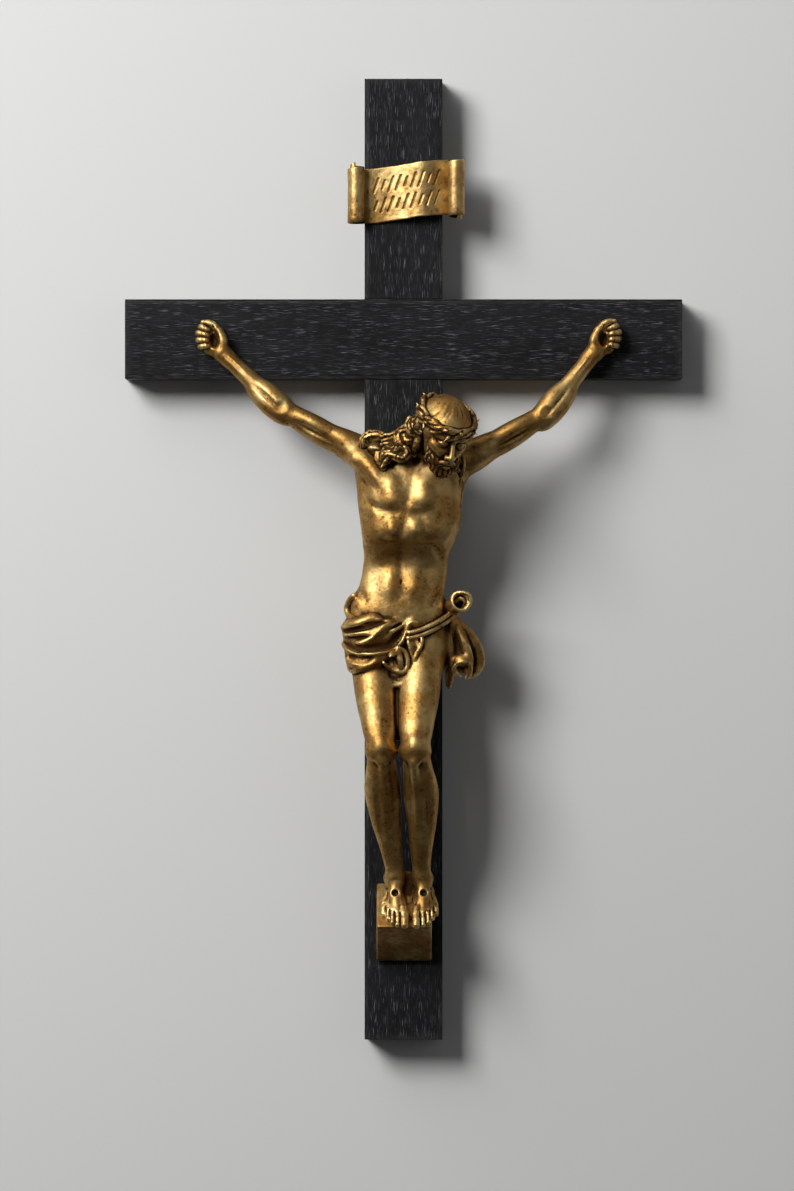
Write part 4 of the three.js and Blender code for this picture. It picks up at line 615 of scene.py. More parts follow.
def beard(clay, at):
    layers = [
        # (locks, widest angle, root height, front drop, length, depth inwards, radius)
        (11, 82, -12, 15, 13, 4.0, 2.3),
        (12, 74, -8, 13, 12, 1.2, 2.2),
        (11, 66, -15, 10, 13, 0.2, 2.2),
    ]
    for layer, (count, widest, height, drop, length, inwards, radius) in enumerate(layers):
        for lock in range(count):
            share = 2 * lock / (count - 1) - 1
            angle = math.radians(widest) * share
            s, c = math.sin(angle), math.cos(angle)
            low = height - drop * max(0, c) ** 1.5
            if layer == 1 and abs(share) < 0.28:
                continue
            root = at((19 - inwards) * s, 7 + (18 - inwards) * c, low)
            tip = at((12 - inwards) * s, 7 + (17 - inwards) * c, low - length)
            middle = at(0, 6, low - length / 2)
            out = unit(lerp(root, tip, 0.5) - middle) * 2.2
            curl(clay, root, tip, out, radius, 1.5, 1.1, 1.7 * lock + layer)
    for side in (-1, 1):
        whisker = [(side * 0.6, 28.6, -17.4, 1.3), (side * 4, 28.4, -18.4, 1.8),
                   (side * 8, 25.4, -21, 1.8), (side * 9.6, 23, -26, 1.2)]
        clay.add(cord(whisker, at=at), 0.8)
        clay.add(cord([(side * 2, 28.4, -18.8, 1), (side * 7.4, 26, -23.4, 1.2)], at=at), 0.6)


def scalp(clay, at):
    """Shallow waves in the hair on top of the head, from its crown to the wreath."""
    for strand in range(22):
        angle = 2 * math.pi * (strand + 0.3 * math.sin(strand * 2.1)) / 22
        points = []
        for step in range(6):
            t = math.radians(14 + 13 * step)
            turned = angle + 0.3 * math.sin(t * 2.4)
            points.append(at(27 * math.sin(t) * math.sin(turned),
                             -8 + 32 * math.sin(t) * math.cos(turned),
                             9 + 28.6 * math.cos(t)))
        clay.press(line(points, 2.2), -0.7)


# Twisted twigs round the brow, with thorns
CROWN = {"twigs": 7, "twist": 2, "wide": 27.2, "deep": 31, "level": 15, "dip": 4, "thickness": 1.9}


def crown(clay, at):
    steps = 72

    def ring(angle, out, lift):
        s, c = math.sin(angle), math.cos(angle)
        height = CROWN["level"] - CROWN["dip"] * c + lift
        return at((CROWN["wide"] + out) * s, (CROWN["deep"] + out) * c - 4, height)

    band = []
    for i in range(steps // 2 + 1):
        band.append((*ring(4 * math.pi * i / steps, -1.5, 0), 3.6))
    clay.add(cord(band, 1), 1.5)
    for twig in range(CROWN["twigs"]):
        rows = []
        for i in range(steps + 1):
            angle = 2 * math.pi * i / steps
            phase = CROWN["twist"] * angle + 2 * math.pi * twig / CROWN["twigs"]
            phase += 0.7 * math.sin(3 * angle + 2.3 * twig)
            out = 1.5 * math.cos(phase) + 0.5 * math.sin(7 * angle + 2 * twig)
            lift = 5.4 * math.sin(phase) + 0.6 * math.sin(5 * angle + 3 * twig)
            thick = CROWN["thickness"] * (1 + 0.2 * math.sin(9 * angle + 5 * twig))
            rows.append((*ring(angle, out, lift), thick))
        clay.add(cord(rows, 1), 0.9)
    thorns = 17
    for i in range(thorns):
        angle = 2 * math.pi * (i + 0.4 + 0.2 * math.sin(3 * i)) / thorns
        lift = (4.5, -5, 1)[i % 3]
        turn = 0.14 if i % 2 else -0.12
        clay.add(rod(ring(angle, 1.6, lift * 0.5), ring(angle + turn, 6, lift * 1.3), 1.5, 0.4), 0.8)


def tress(clay, rows):
    """A lock through rows of (x, f, z, radius), made of three strands side by side."""
    rows = densify(rows, 3)
    way = np.gradient(rows[:, :3], axis=0)
    aside = np.cross(way, (0, 1, 0))
    aside /= np.maximum(np.linalg.norm(aside, axis=1), 1e-6)[:, None]
    for strand in (-1, 0, 1):
        moved = rows.copy()
        moved[:, :3] += aside * (strand * 0.72 * rows[:, 3:])
        moved[:, 1] -= 0.35 * abs(strand) * rows[:, 3]
        moved[:, 3] *= 0.62
        clay.add(cord(moved, 1), 0.9)


def locks(clay, start, end, spread, count, thickness, wave, turns=1.5):
    """Wavy locks of hair from start to end, side by side along a second direction."""
    start, end, spread = (np.array(v, float) for v in (start, end, spread))
    along = unit(end - start)
    side = unit(spread)
    out = np.cross(along, side)
    steps = 8
    for lock in range(count):
        share = lock / (count - 1) - 0.5 if count > 1 else 0
        rows = []
        for i in range(steps + 1):
            t = i / steps
            phase = 2 * math.pi * turns * t + lock * 1.9
            swing = wave * math.sin(phase)
            lift = wave * 0.6 * math.cos(phase)
            place = lerp(start, end, t) + spread * share * (1 - 0.25 * t) + side * swing + out * lift
            rows.append((*place, thickness * (1 - 0.5 * t)))
        clay.add(cord(rows, 2), 0.8)


def hair(clay):
    at = head_frame()[1]
    # Round the back of the head from ear to ear, in three layers
    for layer, (top, tip, out, count) in enumerate(((12, -14, 0, 17), (4, -22, -1, 15), (-4, -31, -3, 13))):
        for lock in range(count):
            angle = math.radians(92 + lock * 176 / (count - 1) + 4 * layer)
            s, c = math.sin(angle), math.cos(angle)
            root = at((25 + out) * s, (29 + out) * c - 5, top)
            end = at((22 + out) * s + 2 * math.sin(lock), (24 + out) * c - 6, tip)
            away = unit(root - at(0, -5, top)) * 3
            curl(clay, root, end, away, 3.4, 2, 1.2, lock * 2.3 + layer)
    clay.add(cord([(14, 64, -90, 8), (4, 58, -101, 9), (-8, 56, -112, 7), (-15, 58, -122, 4)]), 3)
    # The mass of curls on the left shoulder
    clay.add([rod((4, 64, -96), (-14, 57, -106), 10, 9), rod((-4, 62, -108), (-17, 60, -116), 9, 7)], 4)
    fine = {"thickness": 2.2, "wave": 1.5, "turns": 1.3}
    locks(clay, (8, 76, -92), (-22, 62, -104), (3, 2, 12), 4, **fine)
    locks(clay, (4, 74, -98), (-20, 66, -116), (6, 0, 12), 5, **fine)
    locks(clay, (-2, 73, -108), (-20, 67, -128), (10, 0, 6), 4, **fine)
    single = [
        # The wide arch over the shoulder
        [(-40.6, 54, -109, 1.7), (-40.6, 54.5, -103, 2.4), (-37, 55, -98.8, 2.7), (-30, 57, -97, 2.8),
         (-23, 60, -98.4, 2.6), (-18.4, 62, -103, 2)],
        # The bright upright lock and the hooks below it
        [(-4, 72, -94, 2), (-6, 73, -100, 3), (-3.6, 74, -105.4, 3), (1, 74, -108.6, 2.2)],
        [(0.6, 75, -110, 2.2), (2.4, 75, -116, 2.8), (-2, 75, -120.4, 3), (-8, 73, -119, 2.7),
         (-13.6, 71, -116.6, 2.6), (-18.4, 69, -117.6, 2.5), (-20.6, 67, -121.4, 2.2),
         (-18, 67, -125, 1.6)],
        [(-20, 66, -112.6, 1.8), (-12, 69, -111, 2.5), (-5, 72, -112.6, 2.5), (0, 74, -110.6, 1.8)],
        [(-25.6, 62, -115, 1.8), (-25.4, 63, -121, 2.4), (-22, 65, -126, 2.3), (-20.4, 65, -132, 1.4)],
        # Curls by the temple
        [(7, 80, -82, 2.4), (5.4, 81, -89, 3.2), (9, 83, -94, 3.2), (15, 85, -97, 2.2)],
        [(11, 84, -83, 2), (12, 86, -90, 2.8), (17, 88, -95.6, 2)],
        [(0, 74, -98, 2), (2, 76, -103, 2.6), (7.4, 78, -102.4, 2.6), (8.4, 79, -97, 2)],
    ]
    for lock in single:
        tress(clay, [(*row[:3], row[3] * 1.25) for row in lock])
    locks(clay, (54, 74, -110), (57, 63, -148), (5, 0, 0), 3, 2.1, 1.5)


# The loincloth. Its folds lie on the hips, at the given lift off the skin.
HIPS = {"x": -5, "f": 28, "wide": 54, "deep": 27}
WRAP = [
    (-275, -50, -6, 8, 50),
    (-279, -57, 4, 3, 58),
    (-284, -61, 10, 1, 62),
    (-292, -62, 12, 1, 64),
    (-304, -60, 8, 0, 65),
    (-318, -59, -2, 1, 66),
    (-332, -56, -16, 4, 64),
]


def front_of(rows, x, z):
    """How far forward a stack of sections reaches at a place across and up."""
    table = np.array(rows, float)[::-1]
    left, right, back, front = (np.interp(z, table[:, 0], table[:, k]) for k in (1, 2, 3, 4))
    share = min(1, abs(2 * x - left - right) / (right - left))
    return (back + front) / 2 + (front - back) / 2 * math.sqrt(1 - share * share)


def on_hips(x, z, lift):
    """A place on the hips or on the cloth round them, at a lift off the surface."""
    share = min(1, abs(x - HIPS["x"]) / HIPS["wide"])
    thighs = HIPS["f"] + HIPS["deep"] * math.sqrt(1 - share * share)
    cloth = front_of(WRAP, x, z) if WRAP[0][0] >= z else 0
    return (x, max(thighs, cloth, front_of(TORSO, x, z) if z > -300 else 0) + lift, z)


def fold(clay, points, radius, lift, soft, start=1.0, end=1.0):
    """A rounded fold through points of (x, z)."""
    last = len(points) - 1
    rows = []
    for i, (x, z) in enumerate(points):
        share = start if i == 0 else end if i == last else 1
        rows.append((*on_hips(x, z, lift), radius * share))
    clay.add(cord(rows), soft)


def ridge(clay, points, width, height, lift, last=0.0):
    """Lifts the cloth along points of (x, z) into a sharp ridge; height below nought sinks it."""
    path = line([on_hips(x, z, lift) for x, z in points], width, last=last)
    clay.press(path, height, sharp=height > 0)


def loincloth(clay):
    clay.add(stack(WRAP), 1.5)
    # Two thin folds over the left hip
    clay.add(ball((-43, 28, -268), (9, 18, 14)), 8)
    band = [(-50, -257), (-54, -261), (-57, -268), (-56, -275), (-51, -280), (-44, -283)]
    fold(clay, band, 3, lift=-1, soft=4, end=0.6)
    fold(clay, [(-45, -262), (-49, -267), (-48.6, -273), (-43, -278), (-34, -280)], 1.4, lift=-0.4, soft=4)
    # The top pleat, a broad roll with a pocket under its end
    top = [(-60, -289), (-55, -286.6), (-47, -284.6), (-39, -281.6), (-31, -279), (-25, -280.4)]
    fold(clay, top, 4.6, lift=-1.4, soft=4, start=0.8, end=0.6)
    ridge(clay, top, 6.4, 2.6, 3, last=1.0)
    under = [(-70, -292), (-55, -291.6), (-44, -290), (-33, -287), (-22, -284.4), (-14, -284)]
    ridge(clay, under, 5.4, -5, 0)
    pocket = [(-39, -285), (-31, -283.4), (-24, -284)]
    clay.cut(cord([(*on_hips(x, z, 1), 1.5) for x, z in pocket]), 1.4)
    # The second pleat
    second = [(-72, -297), (-54, -295), (-44, -294), (-33, -292.6), (-25, -290), (-17, -285.6)]
    ridge(clay, second, 5.6, 4.4, 1)
    ridge(clay, [(-72, -300), (-55, -299.6), (-44, -299), (-33, -297.6), (-27, -295)], 5.4, -3.6, -1)
    # The main ridge, forked near its upper end
    main = [(-72, -305), (-53, -305), (-44, -304), (-34, -299.6), (-27, -294), (-20, -287.4), (-13, -284.6),
            (-2, -282)]
    ridge(clay, main, 7.4, 5.6, 1)
    ridge(clay, main[1:7], 3.4, 3.4, 4)
    ridge(clay, [(-15, -294.6), (-10, -291.6), (-5, -288), (0, -283)], 4.4, 5, 1)
    ridge(clay, [(-16, -290), (-10, -288.4), (-5, -286), (-1, -283.6)], 3.8, -4.4, 0)
    # The hem: a thin standing lip, with a wide hollow above and an undercut below
    hem = [(-60, -305.4), (-53, -309.4), (-42, -313), (-34, -314.6), (-23, -313.4), (-13, -311),
           (-5, -304.6), (-1, -299), (2, -292.6), (4.4, -285.4), (8.4, -283), (12.4, -283.8)]
    fold(clay, hem, 4, lift=-1, soft=4, start=0.6, end=0.5)
    fold(clay, hem, 1.5, lift=3, soft=2.6, start=0.6, end=0.9)
    above = [(-60, -304), (-52, -306), (-44, -309), (-36, -309.4), (-24, -307.6), (-14, -304), (-8, -298),
             (-4, -290)]
    ridge(clay, above, 7, -7, 0)
    # The panel below the hem, which overhangs the thigh
    panel = [(-52, -320), (-46, -323), (-36, -322), (-25, -319), (-14, -314)]
    fold(clay, panel, 7, lift=-4, soft=5, start=0.9, end=0.4)
    ridge(clay, [(-60, -316), (-51, -319), (-44, -320.6), (-36, -320), (-26, -317)], 6, -3, 1)
    edge = [(-54, -331.5), (-50, -332), (-43, -329), (-34, -325.6), (-23, -320.6), (-14, -314.6)]
    fold(clay, edge, 2, lift=1, soft=3, start=0.7, end=0.6)
    ropes(clay)
    tail(clay)
    drape(clay)


def ropes(clay):
    """Two strands from the roll-over in front to the knot at the right hip."""
    upper = [(5, -293.6), (15.6, -291), (28, -285.6), (38, -280), (47, -273.6), (51, -271)]
    lower = [(4, -299), (15.6, -296.6), (28, -291), (38, -285.6), (44, -281.6), (50, -276.6)]
    middle = [(6, -296), (15.6, -293.8), (28, -288.3), (38, -282.8), (47, -277)]
    fold(clay, middle, 3.2, lift=1.5, soft=1.5)
    for strand in (upper, lower):
        fold(clay, strand, 2.3, lift=4.6, soft=1)


def flap(clay, x, z, lift, wide, high, lean=0, deep=5):
    """A filled patch of cloth, an oval that leans to the right by an angle in degrees."""
    turn = math.radians(lean)
    axes = ((math.cos(turn), 0, -math.sin(turn)), (0, 1, 0), (math.sin(turn), 0, math.cos(turn)))
    clay.add(ball(on_hips(x, z, lift), (wide, deep, high), axes), 2.5)


def tail(clay):
    """The short end that falls between the thighs."""
    # The leaf on the right
    flap(clay, 10.6, -308, 3, 6.6, 9.6, -14)
    rim = [(17.6, -299.6), (17, -306), (13.4, -311.6), (11.4, -317), (10, -322)]
    fold(clay, rim, 1.7, lift=6.6, soft=1.4, end=0.7)
    fold(clay, [(4, -303), (6.4, -312), (9, -320)], 1.4, lift=6, soft=2)
    ridge(clay, [(9, -300), (11, -306), (10.4, -314)], 4, -3.6, 7)
    # The strip under it that runs along the right thigh
    flap(clay, 8, -329, 0, 5, 15, 34, 4)
    strip = [(14, -322), (9.6, -331), (4.4, -338.4), (-0.4, -343.6), (-6, -347)]
    fold(clay, strip, 1.6, lift=4, soft=2, end=0.6)
    # The bright curl in the middle
    flap(clay, -7, -322, 3.6, 12, 10, 0, 6)
    curve = [(-6, -309), (0, -312.6), (3.2, -320), (3, -328), (-1, -332.4), (-7, -331.4), (-14, -328.4),
             (-20, -323.6)]
    fold(clay, curve, 2.6, lift=6.4, soft=1.8, end=0.6)
    peak = [(-20, -321.6), (-13, -317), (-7, -314.4), (-4.2, -319.6), (-3, -327)]
    ridge(clay, peak, 5, 5.4, 10, last=0.6)
    ridge(clay, [(-17, -326), (-11, -321.6), (-8.6, -324), (-8, -329)], 3.8, -3.4, 10)
    ridge(clay, [(-2, -316), (-0.6, -321), (-0.6, -328)], 3, -3, 8)
    # The lowest turn and its tip
    flap(clay, -6.6, -339, 1.8, 11, 7, 0, 5)
    fold(clay, [(-18, -333), (-16.6, -342), (-10, -346), (-2, -343.6), (4, -336)], 2.4, lift=4.6, soft=2)
    ridge(clay, [(-14, -335), (-8, -338.4), (-1, -338)], 4, -3.6, 6)
    fold(clay, [(-11, -344), (-12.6, -351)], 3.2, lift=1.5, soft=1.5, end=0.6)


def drape(clay):
    """The knot at the right hip, rolled into a hollow end, and the cloth that hangs from it."""
    clay.add(rod((46, 34, -268), (56, 50, -262.5), 8, 9), 3)
    clay.add(rod((49, 36, -271), (49, 38, -284), 6, 5), 3)
    lip = []
    steps = 16
    for i in range(steps + 3):
        angle = 2 * math.pi * i / steps
        rim = 9 + 0.5 * math.sin(3 * angle)
        c, s = math.cos(angle), math.sin(angle)
        lip.append((57 + rim * c, 55.5 + 0.8 * math.sin(2 * angle), -262 + rim * s, 1.9 - 0.3 * c))
    clay.add(cord(lip, 2), 1.2)
    clay.cut(rod((53, 46, -264), (58, 64, -261.5), 6, 7.4), 1)
    clay.add(cord([(50, 46, -262, 3), (56, 50, -259, 2.4), (61, 50, -263, 2.2), (60, 48, -267, 2)]), 1)
    # Flutes that fan out from the knot
    fan = [
        [(48, 37, -281, 4.6), (46, 35, -299, 5.6), (46.5, 33, -316, 5.4), (51, 33, -330, 4.4)],
        [(50, 36, -282, 4.6), (54, 30, -300, 6.6), (57, 29, -318, 6.6), (58, 29, -330, 5)],
        [(51, 37, -283, 4.6), (58, 37, -297, 5.4), (62.6, 37, -309, 5.4), (65, 35.4, -322, 5),
         (64, 33, -333, 4)],
        [(53, 34, -285, 4), (66, 29, -301, 6), (71, 25, -318, 6.4), (70, 24, -330, 5.4)],
        [(52, 35, -284, 4), (66, 32.6, -299, 4.6), (73.4, 28, -313, 4.6), (73, 26, -329, 4.4)],
    ]
    for flute in fan:
        clay.add(cord(flute), 3)
    border = [(49, 36, -281, 2.6), (56, 37, -284.6, 2.4), (64, 36, -290.6, 2.4), (70, 34, -298, 2.4),
              (75.6, 31, -308, 2.4), (78, 29, -318, 2.4), (77.6, 28, -326, 2.3), (72.6, 29, -334, 2.2),
              (66, 31, -337.4, 2), (62, 33, -338, 1.8)]
    clay.add(cord(border), 2.5)
    valley = [(55, 42, -286), (63, 41, -297), (69, 37, -309), (70, 34, -321), (68, 33, -331)]
    clay.press(line(valley, 5.4), -2.2)
    clay.press(line([(50, 42, -290), (52, 40, -302), (54, 39, -314)], 5), -2.6)
    # The curl at the bottom, open below
    clay.add(ball((58, 37, -321), (9, 6.4, 6.4)), 3)
    curling = [(48.6, 37, -331, 1.8), (51.6, 40.4, -325.6, 2), (58, 42.6, -322.6, 2), (64, 41.4, -324, 2),
               (66.4, 38.4, -329, 1.9), (65, 35, -335, 1.7), (62, 33, -338.4, 1.5)]
    clay.add(cord(curling), 2)
    clay.cut(rod((57, 30, -336), (58, 54, -331), 2.6, 4.8), 2)
    clay.add(cord([(50, 36, -330, 2.4), (52, 36, -334, 2.2), (55.6, 34, -337, 1.7)]), 2)
    clay.add(cord([(45, 14, -300, 4), (46, 14, -330, 5), (44.6, 12, -347, 3)]), 3)


# Casting: the clay's surface as a mesh

CORNERS = [(i, j, k) for i in (0, 1) for j in (0, 1) for k in (0, 1)]


def skin(clay):
    """One vertex in each cell that the surface passes through, and a quad round each crossed edge."""
    inside = clay.field < 0
    size = np.array(clay.field.shape) - 1

    def seen(corner):
        return inside[tuple(slice(c, c + s) for c, s in zip(corner, size))]

    some, every = seen(CORNERS[0]).copy(), seen(CORNERS[0]).copy()
    for corner in CORNERS[1:]:
        some |= seen(corner)
        every &= seen(corner)
    cells = np.argwhere(some & ~every)
    value = {c: clay.field[tuple((cells + c).T)] for c in CORNERS}
    total = np.zeros(cells.shape)
    crossed = np.zeros(len(cells))
    for c in CORNERS:
        for axis in range(3):
            if c[axis]:
                continue
            far = tuple(1 if i == axis else v for i, v in enumerate(c))
            a, b = value[c], value[far]
            hit = (a < 0) != (b < 0)
            share = a[hit] / (a[hit] - b[hit])
            total[hit] += c
            total[hit, axis] += share
            crossed[hit] += 1
    places = clay.low + (cells + total / crossed[:, None]) * clay.cell
    order = np.ravel_multi_index(cells.T, size)
    quads = []
    for axis in range(3):
        far = tuple(int(i == axis) for i in range(3))
        a, b = value[(0, 0, 0)], value[far]
        u, v = (np.eye(3, dtype=int)[(axis + k) % 3] for k in (1, 2))
        hit = ((a < 0) != (b < 0)) & np.all(cells - u - v >= 0, 1)
        base = cells[hit]
        ring = [np.searchsorted(order, np.ravel_multi_index(p.T, size))
                for p in (base, base - u, base - u - v, base - v)]
        quad = np.stack(ring, 1)
        turned = a[hit] < 0
        quad[turned] = quad[turned][:, ::-1]
        quads.append(quad)
    return places, np.concatenate(quads)


def largest_piece(places, quads):
    label = np.arange(len(places))
    edges = np.concatenate([quads[:, [0, 1]], quads[:, [1, 2]], quads[:, [2, 3]]])
    while True:
        least = np.minimum(label[edges[:, 0]], label[edges[:, 1]])
        new = label.copy()
        np.minimum.at(new, edges[:, 0], least)
        np.minimum.at(new, edges[:, 1], least)
        new = new[new[new]]
        if np.array_equal(new, label):
            break
        label = new
    biggest = np.bincount(label).argmax()
    kept = np.flatnonzero(label == biggest)
    number = np.full(len(places), -1)
    number[kept] = np.arange(len(kept))
    return places[kept], number[quads[label[quads[:, 0]] == biggest]]


def link(name, data):
    made = bpy.data.objects.new(name, data)
    bpy.context.scene.collection.objects.link(made)
    return made


def make_object(name, places, faces, smooth=True):
    mesh = bpy.data.meshes.new(name)
    mesh.from_pydata(np.asarray(places).tolist(), [], faces)
    mesh.update()
    mesh.polygons.foreach_set("use_smooth", [smooth] * len(mesh.polygons))
    return link(name, mesh)


def loft(rings, count):
    """Quads between rings of count points each, and a face on the first ring and the last."""
    faces = []
    for ring in range(rings - 1):
        here, there = ring * count, (ring + 1) * count
        for i in range(count):
            j = (i + 1) % count
            faces.append((here + i, here + j, there + j, there + i))
    end = (rings - 1) * count
    return faces + [tuple(range(count - 1, -1, -1)), tuple(range(end, end + count))]


def apply_modifiers(piece):
    graph = bpy.context.evaluated_depsgraph_get()
    mesh = bpy.data.meshes.new_from_object(piece.evaluated_get(graph))
    piece.modifiers.clear()
    old = piece.data
    piece.data = mesh
    bpy.data.meshes.remove(old)


def places_of(mesh):
    places = np.zeros(len(mesh.vertices) * 3, np.float32)
    mesh.vertices.foreach_get("co", places)
    return places.reshape(-1, 3).astype(float)


def strands(place):
    """A tangle of ridges a few units apart: 1 along their crests, less between."""
    warped = place + noise.noise_vector(place * 0.1) * 4
    coarse = 1 - 2 * abs(noise.noise(warped * 0.17))
    fine = 1 - 2 * abs(noise.noise(warped * 0.42))
    return 0.55 * coarse + 0.45 * fine


def tangle(mesh, clay):
    """Works fine locks into the hair, beard and wreath; returns how far each vertex lies in a groove."""
    places = places_of(mesh)
    figure = to_figure(places)
    i, j, k = np.clip(np.rint((figure - clay.low) / clay.cell).astype(int), 0,
                      np.array(clay.bare.shape) - 1).T
    within = (figure[:, 2] > LOCK_LEVEL) * (np.abs(figure[:, 0]) < LOCK_SIDE)
    hairy = np.clip(clay.bare[i, j, k] / 1.6 - 0.3, 0, 1) * within
    chosen = np.flatnonzero(hairy > 0)
    crest = np.array([strands(Vector(place)) for place in figure[chosen]])
    normals = np.empty(len(places) * 3, np.float32)
    mesh.vertices.foreach_get("normal", normals)
    move = (crest - 0.72) * LOCK_HEIGHT * hairy[chosen] * UNIT
    places[chosen] += normals.reshape(-1, 3)[chosen] * move[:, None]
    places[:, 1] = np.clip(places[:, 1], CORPUS_LOW.y, FRONT - SEAT_GAP)
    mesh.vertices.foreach_set("co", places.astype(np.float32).ravel())
    grooves = np.zeros(len(places))
    grooves[chosen] = hairy[chosen] * (1.08 - crest)
    return grooves


# Spots that get painted shade (the face and neck, the armpit and flanks, under the cloth and between the
# limbs): middle, reach and strength
PAINTED_SHADE_SPOTS = (
    ((34, 86, -118), 38, 0.07),
    ((8, 62, -112), 22, 0.05),
    ((54, 46, -140), 30, 0.045),
    ((44, 44, -196), 38, 0.03),
    ((-40, 44, -178), 22, 0.02),
    ((-12, 50, -270), 30, 0.04),
    ((30, 50, -262), 24, 0.035),
    ((-35, 40, -308), 44, 0.022),
    ((10, 40, -318), 30, 0.04),
    ((78, 20, -300), 46, 0.03),
    ((-52, 40, -366), 30, 0.03),
    ((-7, 56, -376), 20, 0.05),
    ((34, 44, -366), 26, 0.04),
    ((0, 40, -460), 30, 0.03),
)


# Painted shade: adds to the hollow value round each spot, which darkens the brass there
def painted_shade(figure):
    kept = np.zeros(len(figure))
    for middle, reach, strength in PAINTED_SHADE_SPOTS:
        away = ((figure - middle) ** 2).sum(1) / reach ** 2
        kept += strength * np.maximum(0, 1 - away) ** 1.5
    return kept


def attribute(mesh, name, values):
    layer = mesh.attributes.new(name, "FLOAT", "POINT")
    layer.data.foreach_set("value", np.asarray(values, np.float32))


def to_frame(places):
    x, f, z = places.T
    y = np.clip(FRONT - f * UNIT, CORPUS_LOW.y, FRONT - SEAT_GAP)
    return np.stack([x * UNIT + CORPUS_SHIFT, y, z * UNIT], 1)


def to_figure(places):
    x, y, z = places.T
    return np.stack([(x - CORPUS_SHIFT) / UNIT, (FRONT - y) / UNIT, z / UNIT], 1)


def corpus_clay():
    clay = Clay(GRID_LOW, GRID_HIGH, CELL)
    torso(clay)
    for limb in ARMS.values():
        arm(clay, **limb)
        hand(clay, limb["side"], limb["wrist"])
    for limb in LEGS.values():
        leg(clay, **limb)
        foot(clay, limb["inner"], limb["ankle"])
    # Webs of metal that join the thighs, and the feet at their heels
    clay.add(rod((-7, 42, -338), (-6.5, 62, -396), 5), 3)
    clay.add(rod((4.2, 17, -538), (4.2, 20, -562), 6.6, 6.8), 4)
    head(clay)
    hair(clay)
    loincloth(clay)
    clay.cut(block_room(), 0.4)
    seat = SEAT_GAP / UNIT
    depth = clay.low[1] + np.arange(clay.field.shape[1]) * clay.cell
    np.maximum(clay.field, (seat - depth).astype(np.float32)[None, :, None], out=clay.field)
    return clay


def build_corpus():
    clay = corpus_clay()
    places, quads = largest_piece(*skin(clay))
    # f runs against Y, so the faces are turned round.
    corpus = make_object("corpus_figure", to_frame(places), quads[:, ::-1].tolist())
    triangles = 2 * len(quads)
    if triangles > CORPUS_TRIANGLES:
        fewer = corpus.modifiers.new("fewer", "DECIMATE")
        fewer.ratio = CORPUS_TRIANGLES / triangles
        apply_modifiers(corpus)
    figure = to_figure(places_of(corpus.data))
    grooves = GROOVE_SHADE * tangle(corpus.data, clay)
    # The hollow value: the fine hollows for the patina, plus painted shade in the hair's grooves and round
    # the spots of painted shade
    attribute(corpus.data, "hollow", clay.fullness(figure, FINE_REACH) + grooves + painted_shade(figure))
    # The broad value paints shade where much metal stands round, as on the face and between the legs
    attribute(corpus.data, "broad", clay.fullness(figure, BROAD_REACH))
    return corpus


def block_room():
    """The space that the foot block takes up, in the figure's units."""
    gap = SEAT_GAP / UNIT
    depth = (FRONT - BLOCK_LOW.y) / UNIT
    half = (BLOCK_HIGH.x - BLOCK_LOW.x) / 2 / UNIT + gap
    middle = ((BLOCK_HIGH.x + BLOCK_LOW.x) / 2 - CORPUS_SHIFT) / UNIT
    foot_level = BLOCK_LOW.z / UNIT - gap

    def distance(x, f, z):
        slope = f * SLOPE_NORMAL[1] + (z - HEEL_LEVEL) * SLOPE_NORMAL[2] - gap
        flat = np.maximum(np.abs(x - middle) - half, f - depth - gap)
        return np.maximum(np.maximum(slope, flat), foot_level - z)

    low = (middle - half, -2, foot_level)
    high = (middle + half, depth + gap, HEEL_LEVEL + gap)
    return Shape(low, high, distance)


# The boards

BOARD_WORN = 0.45 * MM  # radius of the boards' worn edges
BOARD_STEP = 4 * MM
ROUNDS = 4


